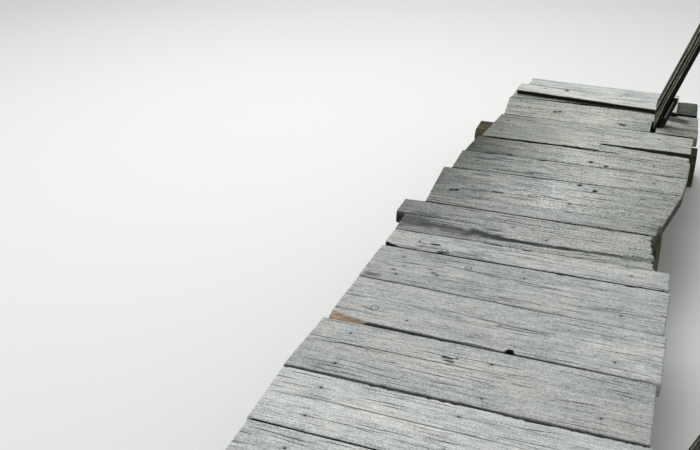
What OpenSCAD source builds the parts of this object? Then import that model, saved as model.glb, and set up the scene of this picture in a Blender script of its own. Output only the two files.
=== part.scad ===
// Wooden footbridge: boards laid crosswise on three hewn logs, which bear on a
// sill at each bank, with a handrail on leaning posts along one side.
// Millimetres. X runs across the deck, with the handrail on the +X side.
// Y runs along the bridge from the near sill to the far one, and Z is up.
// The origin is the middle of the near sill's underside.

/* [Deck] */
// Width of the deck between its usual board ends
deck_w = 920; // [760:10:1200]
// Width of a full board, measured with one joint
board_w = 240; // [200:5:300]
// Thickness of a board
board_t = 42; // [30:1:65]
// Usual joint between two boards
joint_w = 7; // [2:1:14]
// Worn bevel along the top edges of a board
board_wear = 5; // [1:0.5:9]
// Run of the deck past the middle of each sill
deck_out = 160; // [130:5:240]

/* [Threshold boards] */
// Gap between the near threshold board's wide end and the joint behind it
threshold_back = 8; // [2:1:30]
// Lap of the far threshold board's wide end over the joint under it
threshold_lap = 36; // [0:1:60]
// Taper of a threshold board towards its narrow end
threshold_taper = 40; // [0:5:80]
// Run of a threshold board's narrow end away from the middle of the bridge
threshold_skew = 20; // [0:2:40]
// Thickness of a threshold board
threshold_t = 22; // [14:1:40]
// Run of a threshold board past the end of the deck
threshold_out = 14; // [0:1:60]
// Distance from the deck's left edge to a threshold board's left end
threshold_left = 136; // [60:2:180]
// Distance from the deck's right edge to a threshold board's right end
threshold_right = 82; // [20:2:160]

/* [Logs] */
// Diameter of a log at its butt
log_butt_d = 170; // [150:2:220]
// Diameter of a log at its tip
log_tip_d = 148; // [136:2:200]
// Height of a log between its hewn top and its seat on a sill
log_h = 124; // [90:2:132]
// Distance that a log stops short of each end of the deck
log_back = 25; // [0:5:60]
// Left log, from the deck's left edge to its near end's middle
left_log_near = 75; // [60:5:160]
// Left log, from the deck's left edge to its far end's middle
left_log_far = 180; // [120:5:240]
// Middle log, offset of its near end from the deck's middle
middle_log_near = -60; // [-90:5:90]
// Middle log, offset of its far end from the deck's middle
middle_log_far = 125; // [-90:5:140]
// Right log, from the deck's right edge to its near end's middle
right_log_near = 120; // [90:5:160]
// Right log, from the deck's right edge to its far end's middle
right_log_far = 135; // [90:5:160]

/* [Sills] */
// Length of a sill across the bridge
sill_l = 980; // [860:10:1300]
// Width of a sill along the bridge
sill_w = 150; // [100:5:220]
// Height of a sill
sill_h = 140; // [90:5:220]
// Waney bevel along a sill's upper edges
sill_bevel = 22; // [5:1:30]
// Play between a sill and the log notched over it
sill_play = 2; // [1:0.5:6]

/* [Posts] */
// Width of a post across the bridge
post_w = 54; // [44:1:80]
// Depth of a post along the bridge
post_d = 60; // [44:1:80]
// Outward lean of a post, in degrees
post_lean = 18.5; // [0:0.5:24]
// Waney bevel on a post's outer arris that faces the near bank
post_bevel = 22; // [4:1:26]
// Height above the deck at which that bevel stops
bevel_stop = 48; // [10:1:90]
// Height above the deck from which a post's inner side is cut plumb
plumb_h = 100; // [0:1:120]
// Distance from the right log's middle in to the post's middle, at deck level
post_set_in = 38; // [20:1:44]
// Distance from a post to the board joint beside it
post_to_joint = 55; // [30:1:70]
// Play round a post's foot in its pocket in the deck
pocket_play = 7; // [2:1:10]
// Width of the slot between a post's pocket and that joint
slot_w = 22; // [8:1:30]
// Shoulder at each side of the tenon at a post's foot
tenon_shoulder = 3; // [2:0.5:5]
// Depth of the tenon along the bridge
tenon_d = 40; // [24:1:50]
// Height of the tenon
tenon_h = 50; // [20:1:70]
// Play between a tenon and the sides of its mortise
tenon_play = 0.5; // [0.2:0.1:2]
// Thickness of the cleat on a post's outer face
cleat_t = 20; // [12:1:32]
// Height of a cleat above the deck
cleat_h = 120; // [60:5:200]
// Distance that a cleat is set back from a post's faces
cleat_back = 3; // [0:1:8]

/* [Handrail] */
// Height of the handrail's top above the deck
rail_top = 950; // [600:10:1200]
// Width of the handrail
rail_w = 72; // [50:1:110]
// Height of the handrail's section
rail_h = 54; // [36:1:80]
// Bevel along the handrail's upper edges
rail_bevel = 12; // [3:1:17]
// Run of the handrail past each post's middle
rail_out = 130; // [60:5:260]

/* [Hidden] */
$fn = 72;

// How much narrower than a full board each board is, from near to far
narrower = [0, 5, 15, 10, 10, -10, 5, 15, 125, 10, 155, -5, 75, 80, -25, 8, 62];
// How much thicker than usual each board is
thicker = [0, 1, -1, 0, -1, 0, 1, 0, 1, 0, 1, -1, -1, -1, 1, 0, 0];
// How much tighter than usual each joint is at its middle, from near to far
tighter = [0, 1, 3, 0, 2, 0, 1, 4.3, 2.5, 4, 2, 4.5, 4, 3, 0, 4, -7, 0];
// How much wider each joint gets from the left end of the deck to the right end
flare = [0, 0, 0, 0, 0, 0, -7, -2.5, 0, -3, 3, 0, -3, 0, 0, 0, 24, 0];
// The least that a joint is open
least_joint = 1.5;
// How far each joint is askew, from the left end of the deck to the right end
askew = [0, 0, 4, -5, 0, 3, -3, -17, 12, 11, 7, 9, 40, 20, 6, -3, 18, -10];
// Run of each board past the deck's left edge, at its near and far corners
left_run = [
    [10, 15], [18, 15], [20, 22], [24, 20], [25, 27], [30, 13], [4, -4], [-2, -9],
    [-11, -14], [18, 22], [-51, -48], [-46, -34], [-64, -62], [-70, -84],
    [-98, -125], [-133, -112], [-118, -125]
];
// Run of each board past the deck's right edge, at its near and far corners
right_run = [
    [0, -4], [3, 5], [-6, -2], [5, 2], [0, 4], [-3, -8], [2, 0], [-8, -5],
    [-12, -14], [-60, -83], [-75, -67], [-60, -11], [-11, -1], [-1, 2],
    [-5, 2], [17, 9], [3, 0]
];

// Wear at a board's ends as a share of the wear along its sides
end_wear_share = 0.6;

// The boards that a post is notched into, counted from 1
near_post_board = 2;
far_post_board = 16;
// The board with a split left end: how far in the split lies, how far the near
// part is broken back, and the split's length and width at the end
split_board_at = 118;
split_board_back = 38;
split_board_l = 330;
split_board_open = 4;
// The board with a splinter broken off the top of its near left corner and a
// knot fallen out of its near edge: the splinter's length, width and depth, and
// how far the knot lies past the deck's middle, its width and its reach inwards
splinter_l = 128;
splinter_w = 32;
splinter_depth = 12;
knot_x = 68;
knot_w = 18;
knot_in = 12;
// The board that has lost the top of a strip along its near edge: the strip's
// length from the right end, its width, how deep it lies and the split beside it
strip_l = 350;
strip_w = 70;
strip_depth = 11;
strip_open = 9;
// The far threshold board's split: how far in from the outer edge it starts, how
// far the outer part is broken back, and the split's length, slant and width
threshold_split_at = 86;
threshold_step = 38;
threshold_split_l = 400;
threshold_split_slant = 42;
threshold_split_open = 6;
// The far post's board's split at its left end: how far in from the far edge it
// starts, and its length, slant and width
edge_split_at = 14;
edge_split_l = 330;
edge_split_slant = 24;
edge_split_open = 6;

board_count = len(narrower);
threshold_right_x = deck_w / 2 - threshold_right;
deck_y0 = -deck_out;
function board_width(i) = board_w - narrower[i];
function joint_half(j, x) = max(joint_w - tighter[j] + flare[j] * x / deck_w, least_joint) / 2;
function joint_y(j) = j == 0 ? deck_y0 : joint_y(j - 1) + board_width(j - 1);
deck_y1 = joint_y(board_count);
span = deck_y1 - deck_out;

seat_z = sill_h;
log_top_z = seat_z + log_h;
deck_z = log_top_z + board_t;
log_axis_z = seat_z + log_h / 2;
edge_x = deck_w / 2;

log_y0 = deck_y0 + log_back;
log_y1 = deck_y1 - log_back;
right_log_x = [edge_x - right_log_near, edge_x - right_log_far];
function right_log_at(y) =
    right_log_x[0] + (right_log_x[1] - right_log_x[0]) * (y - log_y0) / (log_y1 - log_y0);

post_y_near = joint_at(near_post_board, right_log_x[0]) - joint_half(near_post_board, right_log_x[0]) - post_to_joint - post_d / 2;
post_y_far = joint_at(far_post_board - 1, right_log_x[1]) + joint_half(far_post_board - 1, right_log_x[1]) + post_to_joint + post_d / 2;
near_inner = joint_at(1, threshold_right_x) - joint_half(1, threshold_right_x) - threshold_back;
far_inner = joint_at(board_count - 1, threshold_right_x) - threshold_lap;
rail_z0 = deck_z + rail_top - rail_h;
post_x_near = right_log_at(post_y_near) - post_set_in;
post_x_far = right_log_at(post_y_far) - post_set_in;
post_level_w = post_w / cos(post_lean);
foot_w = max(post_level_w - plumb_h * tan(post_lean), 4 * tenon_shoulder);
plumb_z = deck_z + (post_lean > 0 ? (post_level_w - foot_w) / tan(post_lean) : plumb_h);
function foot_x1(x) = x + post_level_w / 2;
function foot_x0(x) = foot_x1(x) - foot_w;
function lean_x(z) = (z - deck_z) * tan(post_lean);

// How far a cutter runs past what it cuts
slack = 20;

silver = "#9a9790";
pale_silver = "#b0aca4";
dark_grey = "#6f6d67";
brown_grey = "#5d5348";

// Y of joint j at a place across the deck
function joint_at(j, x) = joint_y(j) + askew[j] * x / deck_w;

// The four corners of a board's plan, from near left round to far left
function near_edge(i, x) = joint_at(i, x) + (i == 0 ? 0 : joint_half(i, x));
function far_edge(i, x) = joint_at(i + 1, x) - (i == board_count - 1 ? 0 : joint_half(i + 1, x));
function board_plan(i) =
    let (ln = -edge_x - left_run[i][0], lf = -edge_x - left_run[i][1],
         rn = edge_x + right_run[i][0], rf = edge_x + right_run[i][1])
    [[ln, near_edge(i, ln)], [rn, near_edge(i, rn)], [rf, far_edge(i, rf)], [lf, far_edge(i, lf)]];
function board_top(i) = deck_z + thicker[i];

// A bar along the edge from p to q that cuts a bevel off it, for a slab on the
// left of that way when side is 1 and on the right when it is -1
module bevel_bar(p, q, z, leg, side) {
    translate([p[0], p[1], z])
        rotate([0, 0, atan2(q[1] - p[1], q[0] - p[0])])
            translate([-slack, 0, 0])
                rotate([90, 0, 90])
                    linear_extrude(norm(q - p) + 2 * slack)
                        polygon([[side * (leg + slack), slack], [-side * slack, -leg - slack],
                                 [-side * slack, slack]]);
}

// A flat slab over a four-cornered plan, with its top edges worn, its ends less
// than its sides
module worn_slab(plan, z0, z1, leg) {
    side = sign(cross(plan[1] - plan[0], plan[2] - plan[1]));
    difference() {
        translate([0, 0, z0]) linear_extrude(z1 - z0) polygon(plan);
        for (k = [0 : 3])
            bevel_bar(plan[k], plan[(k + 1) % 4], z1, k % 2 == 0 ? leg : leg * end_wear_share, side);
    }
}

// A wedge-shaped split from point p to point q, widest at p
module split_wedge(p, q, open, z0, z1) {
    along = (q - p) / norm(q - p);
    across = [-along[1], along[0]];
    start = p - along * slack;
    grown = open * (1 + slack / norm(q - p)) / 2;
    translate([0, 0, z0 - slack])
        linear_extrude(z1 - z0 + 2 * slack)
            polygon([start - across * grown, q, start + across * grown]);
}

module board(number) {
    i = number - 1;
    color(silver) worn_slab(board_plan(i), log_top_z, board_top(i), board_wear);
}

// A board with a pocket for a post's foot and a slot from it to a joint
module notched_board(number, x, y, joint_side) {
    x0 = foot_x0(x) - pocket_play;
    x1 = foot_x1(x) + pocket_play / 2;
    d = post_d + 2 * pocket_play;
    reach = post_d / 2 + post_to_joint + joint_w;
    z0 = log_top_z - slack;
    h = board_t + 2 * slack;
    color(silver) difference() {
        board(number);
        translate([x0, y - d / 2, z0]) cube([x1 - x0, d, h]);
        translate([x0, joint_side > 0 ? y : y - reach, z0]) cube([slot_w, reach, h]);
    }
}

// The far post's board, which has split along its far edge from the left end
module far_notched_board() {
    number = far_post_board;
    corner = board_plan(number - 1)[3];
    start = corner - [0, edge_split_at];
    color(silver) difference() {
        notched_board(number, post_x_far, post_y_far, -1);
        split_wedge(start, start + [edge_split_l, -edge_split_slant], edge_split_open,
                    log_top_z, board_top(number - 1));
    }
}

// The board whose left end has split, with its near part broken back
module split_board(number) {
    plan = board_plan(number - 1);
    split_y = plan[0][1] + split_board_at;
    end_x = min(plan[0][0], plan[3][0]);
    color(silver) difference() {
        board(number);
        translate([end_x - slack, plan[0][1] - slack, log_top_z - slack])
            cube([split_board_back + slack, split_board_at + slack, board_t + 2 * slack]);
        split_wedge([end_x, split_y], [end_x + split_board_l, split_y],
                    split_board_open, log_top_z, deck_z);
    }
}

// The board with a broken-off splinter and a fallen-out knot at its near edge
module chipped_board(number) {
    i = number - 1;
    plan = board_plan(i);
    left = plan[0][0];
    near = plan[0][1];
    color(silver) difference() {
        board(number);
        translate([0, 0, board_top(i) - splinter_depth])
            linear_extrude(splinter_depth + slack)
                polygon([[left - slack, near - slack],
                         [left + splinter_l * (1 + slack / splinter_w), near - slack],
                         [left - slack, near + splinter_w * (1 + slack / splinter_l)]]);
        translate([knot_x, near_edge(i, knot_x), log_top_z - slack])
            linear_extrude(board_t + 2 * slack)
                polygon([[-knot_w / 2, -slack], [knot_w / 2, -slack], [knot_w / 2, knot_in * 0.5],
                         [knot_w * 0.2, knot_in], [-knot_w * 0.3, knot_in * 0.95],
                         [-knot_w / 2, knot_in * 0.4]]);
    }
}

// The board that has lost the top of the strip along its near edge
module stripped_board(number) {
    i = number - 1;
    plan = board_plan(i);
    start_x = plan[1][0] - strip_l;
    strip_y = plan[1][1] + strip_w;
    color(silver) difference() {
        board(number);
        translate([start_x, plan[1][1] - slack, board_top(i) - strip_depth])
            cube([strip_l + 2 * slack, strip_w + slack, strip_depth + slack]);
        split_wedge([plan[1][0], strip_y], [start_x, strip_y], strip_open, log_top_z, deck_z);
    }
}

// Plan of a threshold board between its inner and outer edge, which tapers
// towards its left end and runs askew
function threshold_plan(inner, outer) =
    let (l = -edge_x + threshold_left, r = threshold_right_x, way = sign(outer - inner))
    [[l, inner + way * (threshold_taper + threshold_skew)], [r, inner], [r, outer],
     [l, outer + way * threshold_skew]];

module threshold(inner, outer, base_z) {
    color(pale_silver)
        worn_slab(threshold_plan(inner, outer), base_z, base_z + threshold_t, board_wear * 0.8);
}

module threshold_near() {
    threshold(near_inner, deck_y0 - threshold_out, board_top(0));
}

// The far threshold board's left end has split and lost its outer part
module threshold_far() {
    base_z = board_top(board_count - 1);
    corner = threshold_plan(far_inner, deck_y1 + threshold_out)[3];
    split = corner - [0, threshold_split_at];
    color(pale_silver) difference() {
        threshold(far_inner, deck_y1 + threshold_out, base_z);
        translate([split[0] - slack, split[1], base_z - slack])
            cube([threshold_step + slack, threshold_split_at + slack, threshold_t + 2 * slack]);
        split_wedge(split, split + [threshold_split_l, -threshold_split_slant],
                    threshold_split_open, base_z, base_z + threshold_t);
    }
}

// A log from a near end to a far end, hewn level on top, notched over the sills
module log_beam(x0, x1, d0, d1) {
    run = log_y1 - log_y0;
    length = norm([x1 - x0, run]);
    thick = max(d0, d1);
    notch_w = sill_w + 2 * sill_play;
    difference() {
        translate([x0, log_y0, log_axis_z])
            rotate([0, 0, -atan2(x1 - x0, run)])
                rotate([-90, 0, 0]) cylinder(h = length, d1 = d0, d2 = d1);
        translate([-deck_w, log_y0 - slack * 5, log_top_z])
            cube([2 * deck_w, run + slack * 10, thick]);
        for (y = [0, span])
            translate([-deck_w, y - notch_w / 2, seat_z - thick])
                cube([2 * deck_w, notch_w, thick]);
    }
}

module log_left() {
    color(brown_grey)
        log_beam(-edge_x + left_log_near, -edge_x + left_log_far, log_butt_d, log_tip_d);
}

module log_middle() {
    color(brown_grey) log_beam(middle_log_near, middle_log_far, log_tip_d, log_butt_d);
}

module log_right() {
    color(brown_grey) difference() {
        log_beam(right_log_x[0], right_log_x[1], log_butt_d, log_tip_d);
        tenon(post_x_near, post_y_near, tenon_play, slack);
        tenon(post_x_far, post_y_far, tenon_play, slack);
    }
}

// A squared sill with waney upper edges
module sill(y) {
    half = sill_w / 2;
    color(dark_grey)
        translate([-sill_l / 2, y, 0])
            rotate([90, 0, 90])
                linear_extrude(sill_l)
                    polygon([[-half, 0], [half, 0], [half, sill_h - sill_bevel],
                             [half - sill_bevel, sill_h], [-half + sill_bevel, sill_h],
                             [-half, sill_h - sill_bevel]]);
}

// A bar that leans outwards like the posts and is cut level at z0 and z1
module leaning_bar(x, y, w, d, z0, z1) {
    level_w = w / cos(post_lean);
    translate([x, y + d / 2, 0])
        rotate([90, 0, 0])
            linear_extrude(d)
                polygon([[lean_x(z0) - level_w / 2, z0], [lean_x(z0) + level_w / 2, z0],
                         [lean_x(z1) + level_w / 2, z1], [lean_x(z1) - level_w / 2, z1]]);
}

// The tenon under a post's foot, or its mortise when it has play
module tenon(x, y, play, rise) {
    side = tenon_shoulder - play;
    d = tenon_d + 2 * play;
    translate([foot_x0(x) + side, y - d / 2, log_top_z - tenon_h])
        cube([foot_w - 2 * side, d, tenon_h + rise]);
}

// A bar that bevels a post's outer arris towards the near bank, down to its stop
module post_bevel_bar(x, y) {
    w = post_w / 2;
    d = post_d / 2;
    reach = deck_z + rail_top;
    intersection() {
        translate([x, y, deck_z])
            rotate([0, post_lean, 0])
                linear_extrude(2 * reach)
                    polygon([[w - post_bevel - slack, -d - slack], [w + slack, -d - slack],
                             [w + slack, post_bevel - d + slack]]);
        translate([x - reach, y - post_d, deck_z + bevel_stop])
            cube([3 * reach, 2 * post_d, 2 * reach]);
    }
}

// A post that leans outwards from a plumb foot, with a stopped bevel
module post(x, y) {
    half = post_level_w / 2;
    top_x = x + lean_x(rail_z0);
    color(brown_grey) difference() {
        union() {
            translate([0, y + post_d / 2, 0])
                rotate([90, 0, 0])
                    linear_extrude(post_d)
                        polygon([[foot_x0(x), log_top_z], [foot_x1(x), log_top_z], [foot_x1(x), deck_z],
                                 [top_x + half, rail_z0], [top_x - half, rail_z0], [foot_x0(x), plumb_z]]);
            tenon(x, y, 0, 1);
        }
        post_bevel_bar(x, y);
    }
}

// A cleat against a post's outer face, standing on the deck
module cleat(x, y, base_z) {
    outer_x = (post_w + cleat_t) / 2 / cos(post_lean);
    color(brown_grey)
        leaning_bar(x + outer_x, y, cleat_t, post_d - 2 * cleat_back, base_z, base_z + cleat_h);
}

// The handrail on the posts' level tops
module handrail() {
    half = rail_w / 2;
    top = rail_h - rail_bevel;
    x0 = post_x_near + lean_x(rail_z0);
    x1 = post_x_far + lean_x(rail_z0);
    run = post_y_far - post_y_near;
    length = norm([x1 - x0, run]);
    color(brown_grey)
        translate([x0, post_y_near, rail_z0])
            rotate([0, 0, -atan2(x1 - x0, run)])
                translate([0, length + rail_out, 0])
                    rotate([90, 0, 0])
                        linear_extrude(length + 2 * rail_out)
                            polygon([[-half, 0], [half, 0], [half, top],
                                     [half - rail_bevel, rail_h], [-half + rail_bevel, rail_h],
                                     [-half, top]]);
}

board(1);  // board_01
notched_board(near_post_board, post_x_near, post_y_near, 1);  // board_02
board(3);  // board_03
board(4);  // board_04
board(5);  // board_05
board(6);  // board_06
chipped_board(7);  // board_07
board(8);  // board_08
board(9);  // board_09
split_board(10);  // board_10
board(11);  // board_11
board(12);  // board_12
board(13);  // board_13
board(14);  // board_14
stripped_board(15);  // board_15
far_notched_board();  // board_16
board(17);  // board_17
threshold_near();
threshold_far();
log_left();
log_middle();
log_right();
sill(0);  // sill_near
sill(span);  // sill_far
post(post_x_near, post_y_near);  // post_near
post(post_x_far, post_y_far);  // post_far
cleat(post_x_near, post_y_near, board_top(1));  // cleat_near
cleat(post_x_far, post_y_far, board_top(15));  // cleat_far
handrail();
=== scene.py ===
import bpy
import math
import numpy as np
from mathutils import Matrix, Vector
from types import SimpleNamespace


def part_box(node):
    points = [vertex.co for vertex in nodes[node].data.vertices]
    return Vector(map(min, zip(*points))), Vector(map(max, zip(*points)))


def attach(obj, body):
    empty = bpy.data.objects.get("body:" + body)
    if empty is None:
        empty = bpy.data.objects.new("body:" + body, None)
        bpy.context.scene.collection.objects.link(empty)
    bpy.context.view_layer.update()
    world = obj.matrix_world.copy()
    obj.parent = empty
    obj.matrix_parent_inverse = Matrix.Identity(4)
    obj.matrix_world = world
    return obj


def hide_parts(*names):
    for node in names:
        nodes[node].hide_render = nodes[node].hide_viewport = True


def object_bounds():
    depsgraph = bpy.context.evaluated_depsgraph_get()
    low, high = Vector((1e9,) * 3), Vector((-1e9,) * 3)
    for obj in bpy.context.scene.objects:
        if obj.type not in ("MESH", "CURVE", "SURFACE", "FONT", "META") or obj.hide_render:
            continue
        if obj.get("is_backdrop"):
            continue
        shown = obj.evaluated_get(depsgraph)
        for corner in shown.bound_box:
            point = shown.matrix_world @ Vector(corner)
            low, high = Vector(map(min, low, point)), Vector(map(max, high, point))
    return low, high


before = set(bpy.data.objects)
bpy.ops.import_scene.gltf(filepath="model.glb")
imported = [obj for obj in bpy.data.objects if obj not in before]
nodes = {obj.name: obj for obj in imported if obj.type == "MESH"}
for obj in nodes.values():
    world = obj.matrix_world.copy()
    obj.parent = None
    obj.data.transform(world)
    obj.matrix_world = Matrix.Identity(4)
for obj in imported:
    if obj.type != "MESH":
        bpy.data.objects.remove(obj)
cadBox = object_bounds()
print("stage 1: frame loaded")


cameraLook = {
    "place": (0.400, -0.820, 1.806),  # metres
    "downDeg": 28.234,
    "rollDeg": -0.537,
    "turnDeg": -20.883,  # from +Y towards +X
    "lensMm": 47.98,
    "sensorMm": 36.0,
}


def makeCamera(look):
    # forward is +Y turned about Z and then tipped down; side and up complete the frame and are rolled
    down, roll, turn = (math.radians(look[k]) for k in ("downDeg", "rollDeg", "turnDeg"))
    forward = Vector((math.sin(turn) * math.cos(down), math.cos(turn) * math.cos(down), -math.sin(down)))
    side = Vector((math.cos(turn), -math.sin(turn), 0))
    up = side.cross(forward)
    rolledSide = math.cos(roll) * side + math.sin(roll) * up
    rolledUp = math.cos(roll) * up - math.sin(roll) * side
    data = bpy.data.cameras.new("camera")
    data.lens, data.sensor_width, data.clip_end = look["lensMm"], look["sensorMm"], 100
    cam = bpy.data.objects.new("camera", data)
    bpy.context.scene.collection.objects.link(cam)
    turned = Matrix((rolledSide, rolledUp, -forward)).transposed().to_4x4()
    turned.translation = look["place"]
    cam.matrix_world = turned
    bpy.context.scene.camera = cam


makeCamera(cameraLook)
print("stage 2: camera set")


def latticeNumber(i, j, seed):
    # a repeatable number from 0 to 1 for each whole-number place, by multiplying and folding its bits
    h = (i.astype(np.int64) * 374761393 + j.astype(np.int64) * 668265263 + int(seed) * 362437) & 0xFFFFFFFF
    h = ((h ^ (h >> 13)) * 1274126177) & 0xFFFFFFFF
    return ((h ^ (h >> 16)) & 0xFFFFFF) / float(0xFFFFFF)


def smoothNoise(u, v, seed, around=0):
    # from -1 to 1: the four lattice numbers round a place, blended both ways with a smooth step;
    # around is the number of cells after which v repeats
    u, v = np.broadcast_arrays(np.asarray(u, float), np.asarray(v, float))
    i, j = np.floor(u), np.floor(v)
    a, b = u - i, v - j
    a, b = a * a * (3 - 2 * a), b * b * (3 - 2 * b)
    j0, j1 = (j % around, (j + 1) % around) if around else (j, j + 1)
    near = latticeNumber(i, j0, seed) * (1 - b) + latticeNumber(i, j1, seed) * b
    far = latticeNumber(i + 1, j0, seed) * (1 - b) + latticeNumber(i + 1, j1, seed) * b
    return 2 * (near * (1 - a) + far * a) - 1


def layeredNoise(u, v, seed, layers=3):
    # noise plus finer and weaker copies of itself, each twice as fine and half as strong
    return sum(smoothNoise(u * 2**k, v * 2**k, seed + 31 * k) * 0.5**k for k in range(layers))


def rise(x, low, high):
    # a smooth step from 0 at low to 1 at high
    t = np.clip((x - low) / (high - low), 0, 1)
    return t * t * (3 - 2 * t)


def roundedDrop(distance, radius):
    # how far a quarter circle of this radius lies under its top, at a distance from its outer side
    inside = np.clip(radius - distance, 0, radius)
    return radius - np.sqrt(radius**2 - inside**2)


attributeKinds = {1: ("FLOAT", "value"), 3: ("FLOAT_VECTOR", "vector"), 4: ("FLOAT_COLOR", "color")}


def makeMesh(name, points, smoothFaces, flatFaces, values, material, slotName, *replaced):
    # Puts points in millimetres and groups of faces into a mesh object that rides on the frame. The
    # values are attributes of the points, which the materials read by name.
    groups = smoothFaces + flatFaces
    corners = np.concatenate([g.ravel() for g in groups]).astype(np.int32)
    sizes = np.concatenate([np.full(len(g), g.shape[1]) for g in groups])
    starts = np.concatenate([[0], np.cumsum(sizes)[:-1]]).astype(np.int32)
    smooth = np.concatenate([np.full(len(g), k < len(smoothFaces)) for k, g in enumerate(groups)])
    mesh = bpy.data.meshes.new(name)
    mesh.vertices.add(len(points))
    mesh.vertices.foreach_set("co", (points * 0.001).astype(np.float32).ravel())
    mesh.loops.add(len(corners))
    mesh.loops.foreach_set("vertex_index", corners)
    mesh.polygons.add(len(sizes))
    mesh.polygons.foreach_set("loop_start", starts)
    mesh.update(calc_edges=True)
    mesh.polygons.foreach_set("use_smooth", smooth)
    for key, value in values.items():
        kind, field = attributeKinds[value.shape[-1]]
        layer = mesh.attributes.new(key, kind, "POINT")
        layer.data.foreach_set(field, value.astype(np.float32).ravel())
    layer = mesh.attributes.new("endFace", "FLOAT", "FACE")
    layer.data.foreach_set("value", (~smooth).astype(np.float32))
    mesh.validate()
    obj = bpy.data.objects.new(name, mesh)
    bpy.context.scene.collection.objects.link(obj)
    obj.data.materials.append(material)
    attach(obj, "root")
    if replaced:
        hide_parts(*replaced)


def ringFaces(stations, ring):
    # quads between neighbouring rings of a tube
    s, r = np.meshgrid(np.arange(stations - 1), np.arange(ring), indexing="ij")
    a, b = s * ring + r, s * ring + (r + 1) % ring
    return np.stack([a, a + ring, b + ring, b], -1).reshape(-1, 4)


def closingTips(rings, ring):
    # triangles from a tube's first and last ring to the two points that come after all rings
    r = np.arange(ring)
    follow, lastRing = (r + 1) % ring, (rings - 1) * ring
    firstTips = np.stack([r, follow, np.full(ring, rings * ring)], -1)
    lastTips = np.stack([lastRing + follow, lastRing + r, np.full(ring, rings * ring + 1)], -1)
    return np.concatenate([firstTips, lastTips])


def bendRound(along, across, knots):
    # The across coordinate of the grain where it passes round knots: lines spread out from a knot's middle.
    bent = across.copy()
    for x, y, r in knots:
        near = np.exp(-(((along - x) / (3.2 * r)) ** 2) - ((across - y) / (2.0 * r)) ** 2)
        bent = bent - (across - y) * 0.8 * near
    return bent


def knotMark(along, across, knots):
    # 1 in the middle of a knot, 0.5 at its rim, 0 at twice its radius
    mark = np.zeros_like(along)
    for x, y, r in knots:
        d = np.sqrt(((along - x) / 1.25) ** 2 + (across - y) ** 2) / r
        mark = np.maximum(mark, np.clip(1 - 0.5 * d, 0, 1))
    return mark


def cadPoints(node):
    # the points of a CAD node in millimetres
    co = np.empty(len(nodes[node].data.vertices) * 3, np.float32)
    nodes[node].data.vertices.foreach_get("co", co)
    return co.reshape(-1, 3).astype(float) * 1000


def cadPlan(node):
    # plan corners of a CAD node's lowest face, from near left round to far left, and its lowest and highest z
    co = cadPoints(node)
    low = co[co[:, 2] < co[:, 2].min() + 0.5]
    x, y = low[:, 0], low[:, 1]
    picks = [np.argmin(x + y), np.argmax(x - y), np.argmax(x + y), np.argmin(x - y)]
    return low[picks][:, :2], co[:, 2].min(), co[:, 2].max()


def middleAndHalf(points):
    # middle and half size of the box round some points, for x, y and z
    low, high = points.min(0), points.max(0)
    return (low + high) / 2, (high - low) / 2


def pieceName(node):
    # log_left becomes logLeft, and handrail stays as it is
    first, *rest = node.split("_")
    return first + "".join(word.capitalize() for word in rest)


boardLook = {
    "columnGap": 3.7,  # mm between mesh lines across a board
    "stationGap": 4.6,  # mm between mesh lines along it
    "sideSteps": 4,  # mesh lines down each long side
    "hug": 1.1,  # mm from the side of a crack to the next mesh line
    "edgeRadius": 3.4,
    "endRadius": 3.8,
    "ridge": 0.6,  # depth of the washed-out soft grain
    "dish": 0.9,  # height of broad hollows
    "cup": 1.3,  # most that a board cups
    "twist": 1.4,  # most that it twists
    "chip": 3.4,  # depth of the chips along the edges
    "chipReach": 11,  # mm over which a chip slopes down to the edge
    "endNotch": 1.1,  # depth of the small notches in the ends
    "leastWood": 3,  # mm of wood left under the deepest crack
    "lineGap": 44,  # mm between lines that drying cracks follow
    "crackWidth": 1.7,
    "crackDepth": 5.5,
    "crackLength": (40, 260),
    "splitShare": 0.62,  # share of the lines that get a split at an end
    "splitLength": (18, 95),
    "splitWidth": (1.0, 2.6),
    "splitDepth": (4, 13),
    "edgeDark": 0.12,  # how much darker the long edges are
    "bellyDark": 0.42,  # how much darker and warmer the underside is
    "bellyWarm": 0.5,
}
thresholdLook = dict(boardLook, chip=2.2, sideSteps=3)
edgeSteps = np.array([0, 0.5, 1.5, 3.3])  # mm from an edge or end to its first mesh lines
deepCut = 20  # mm, from which a crack counts as a split through the board

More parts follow.
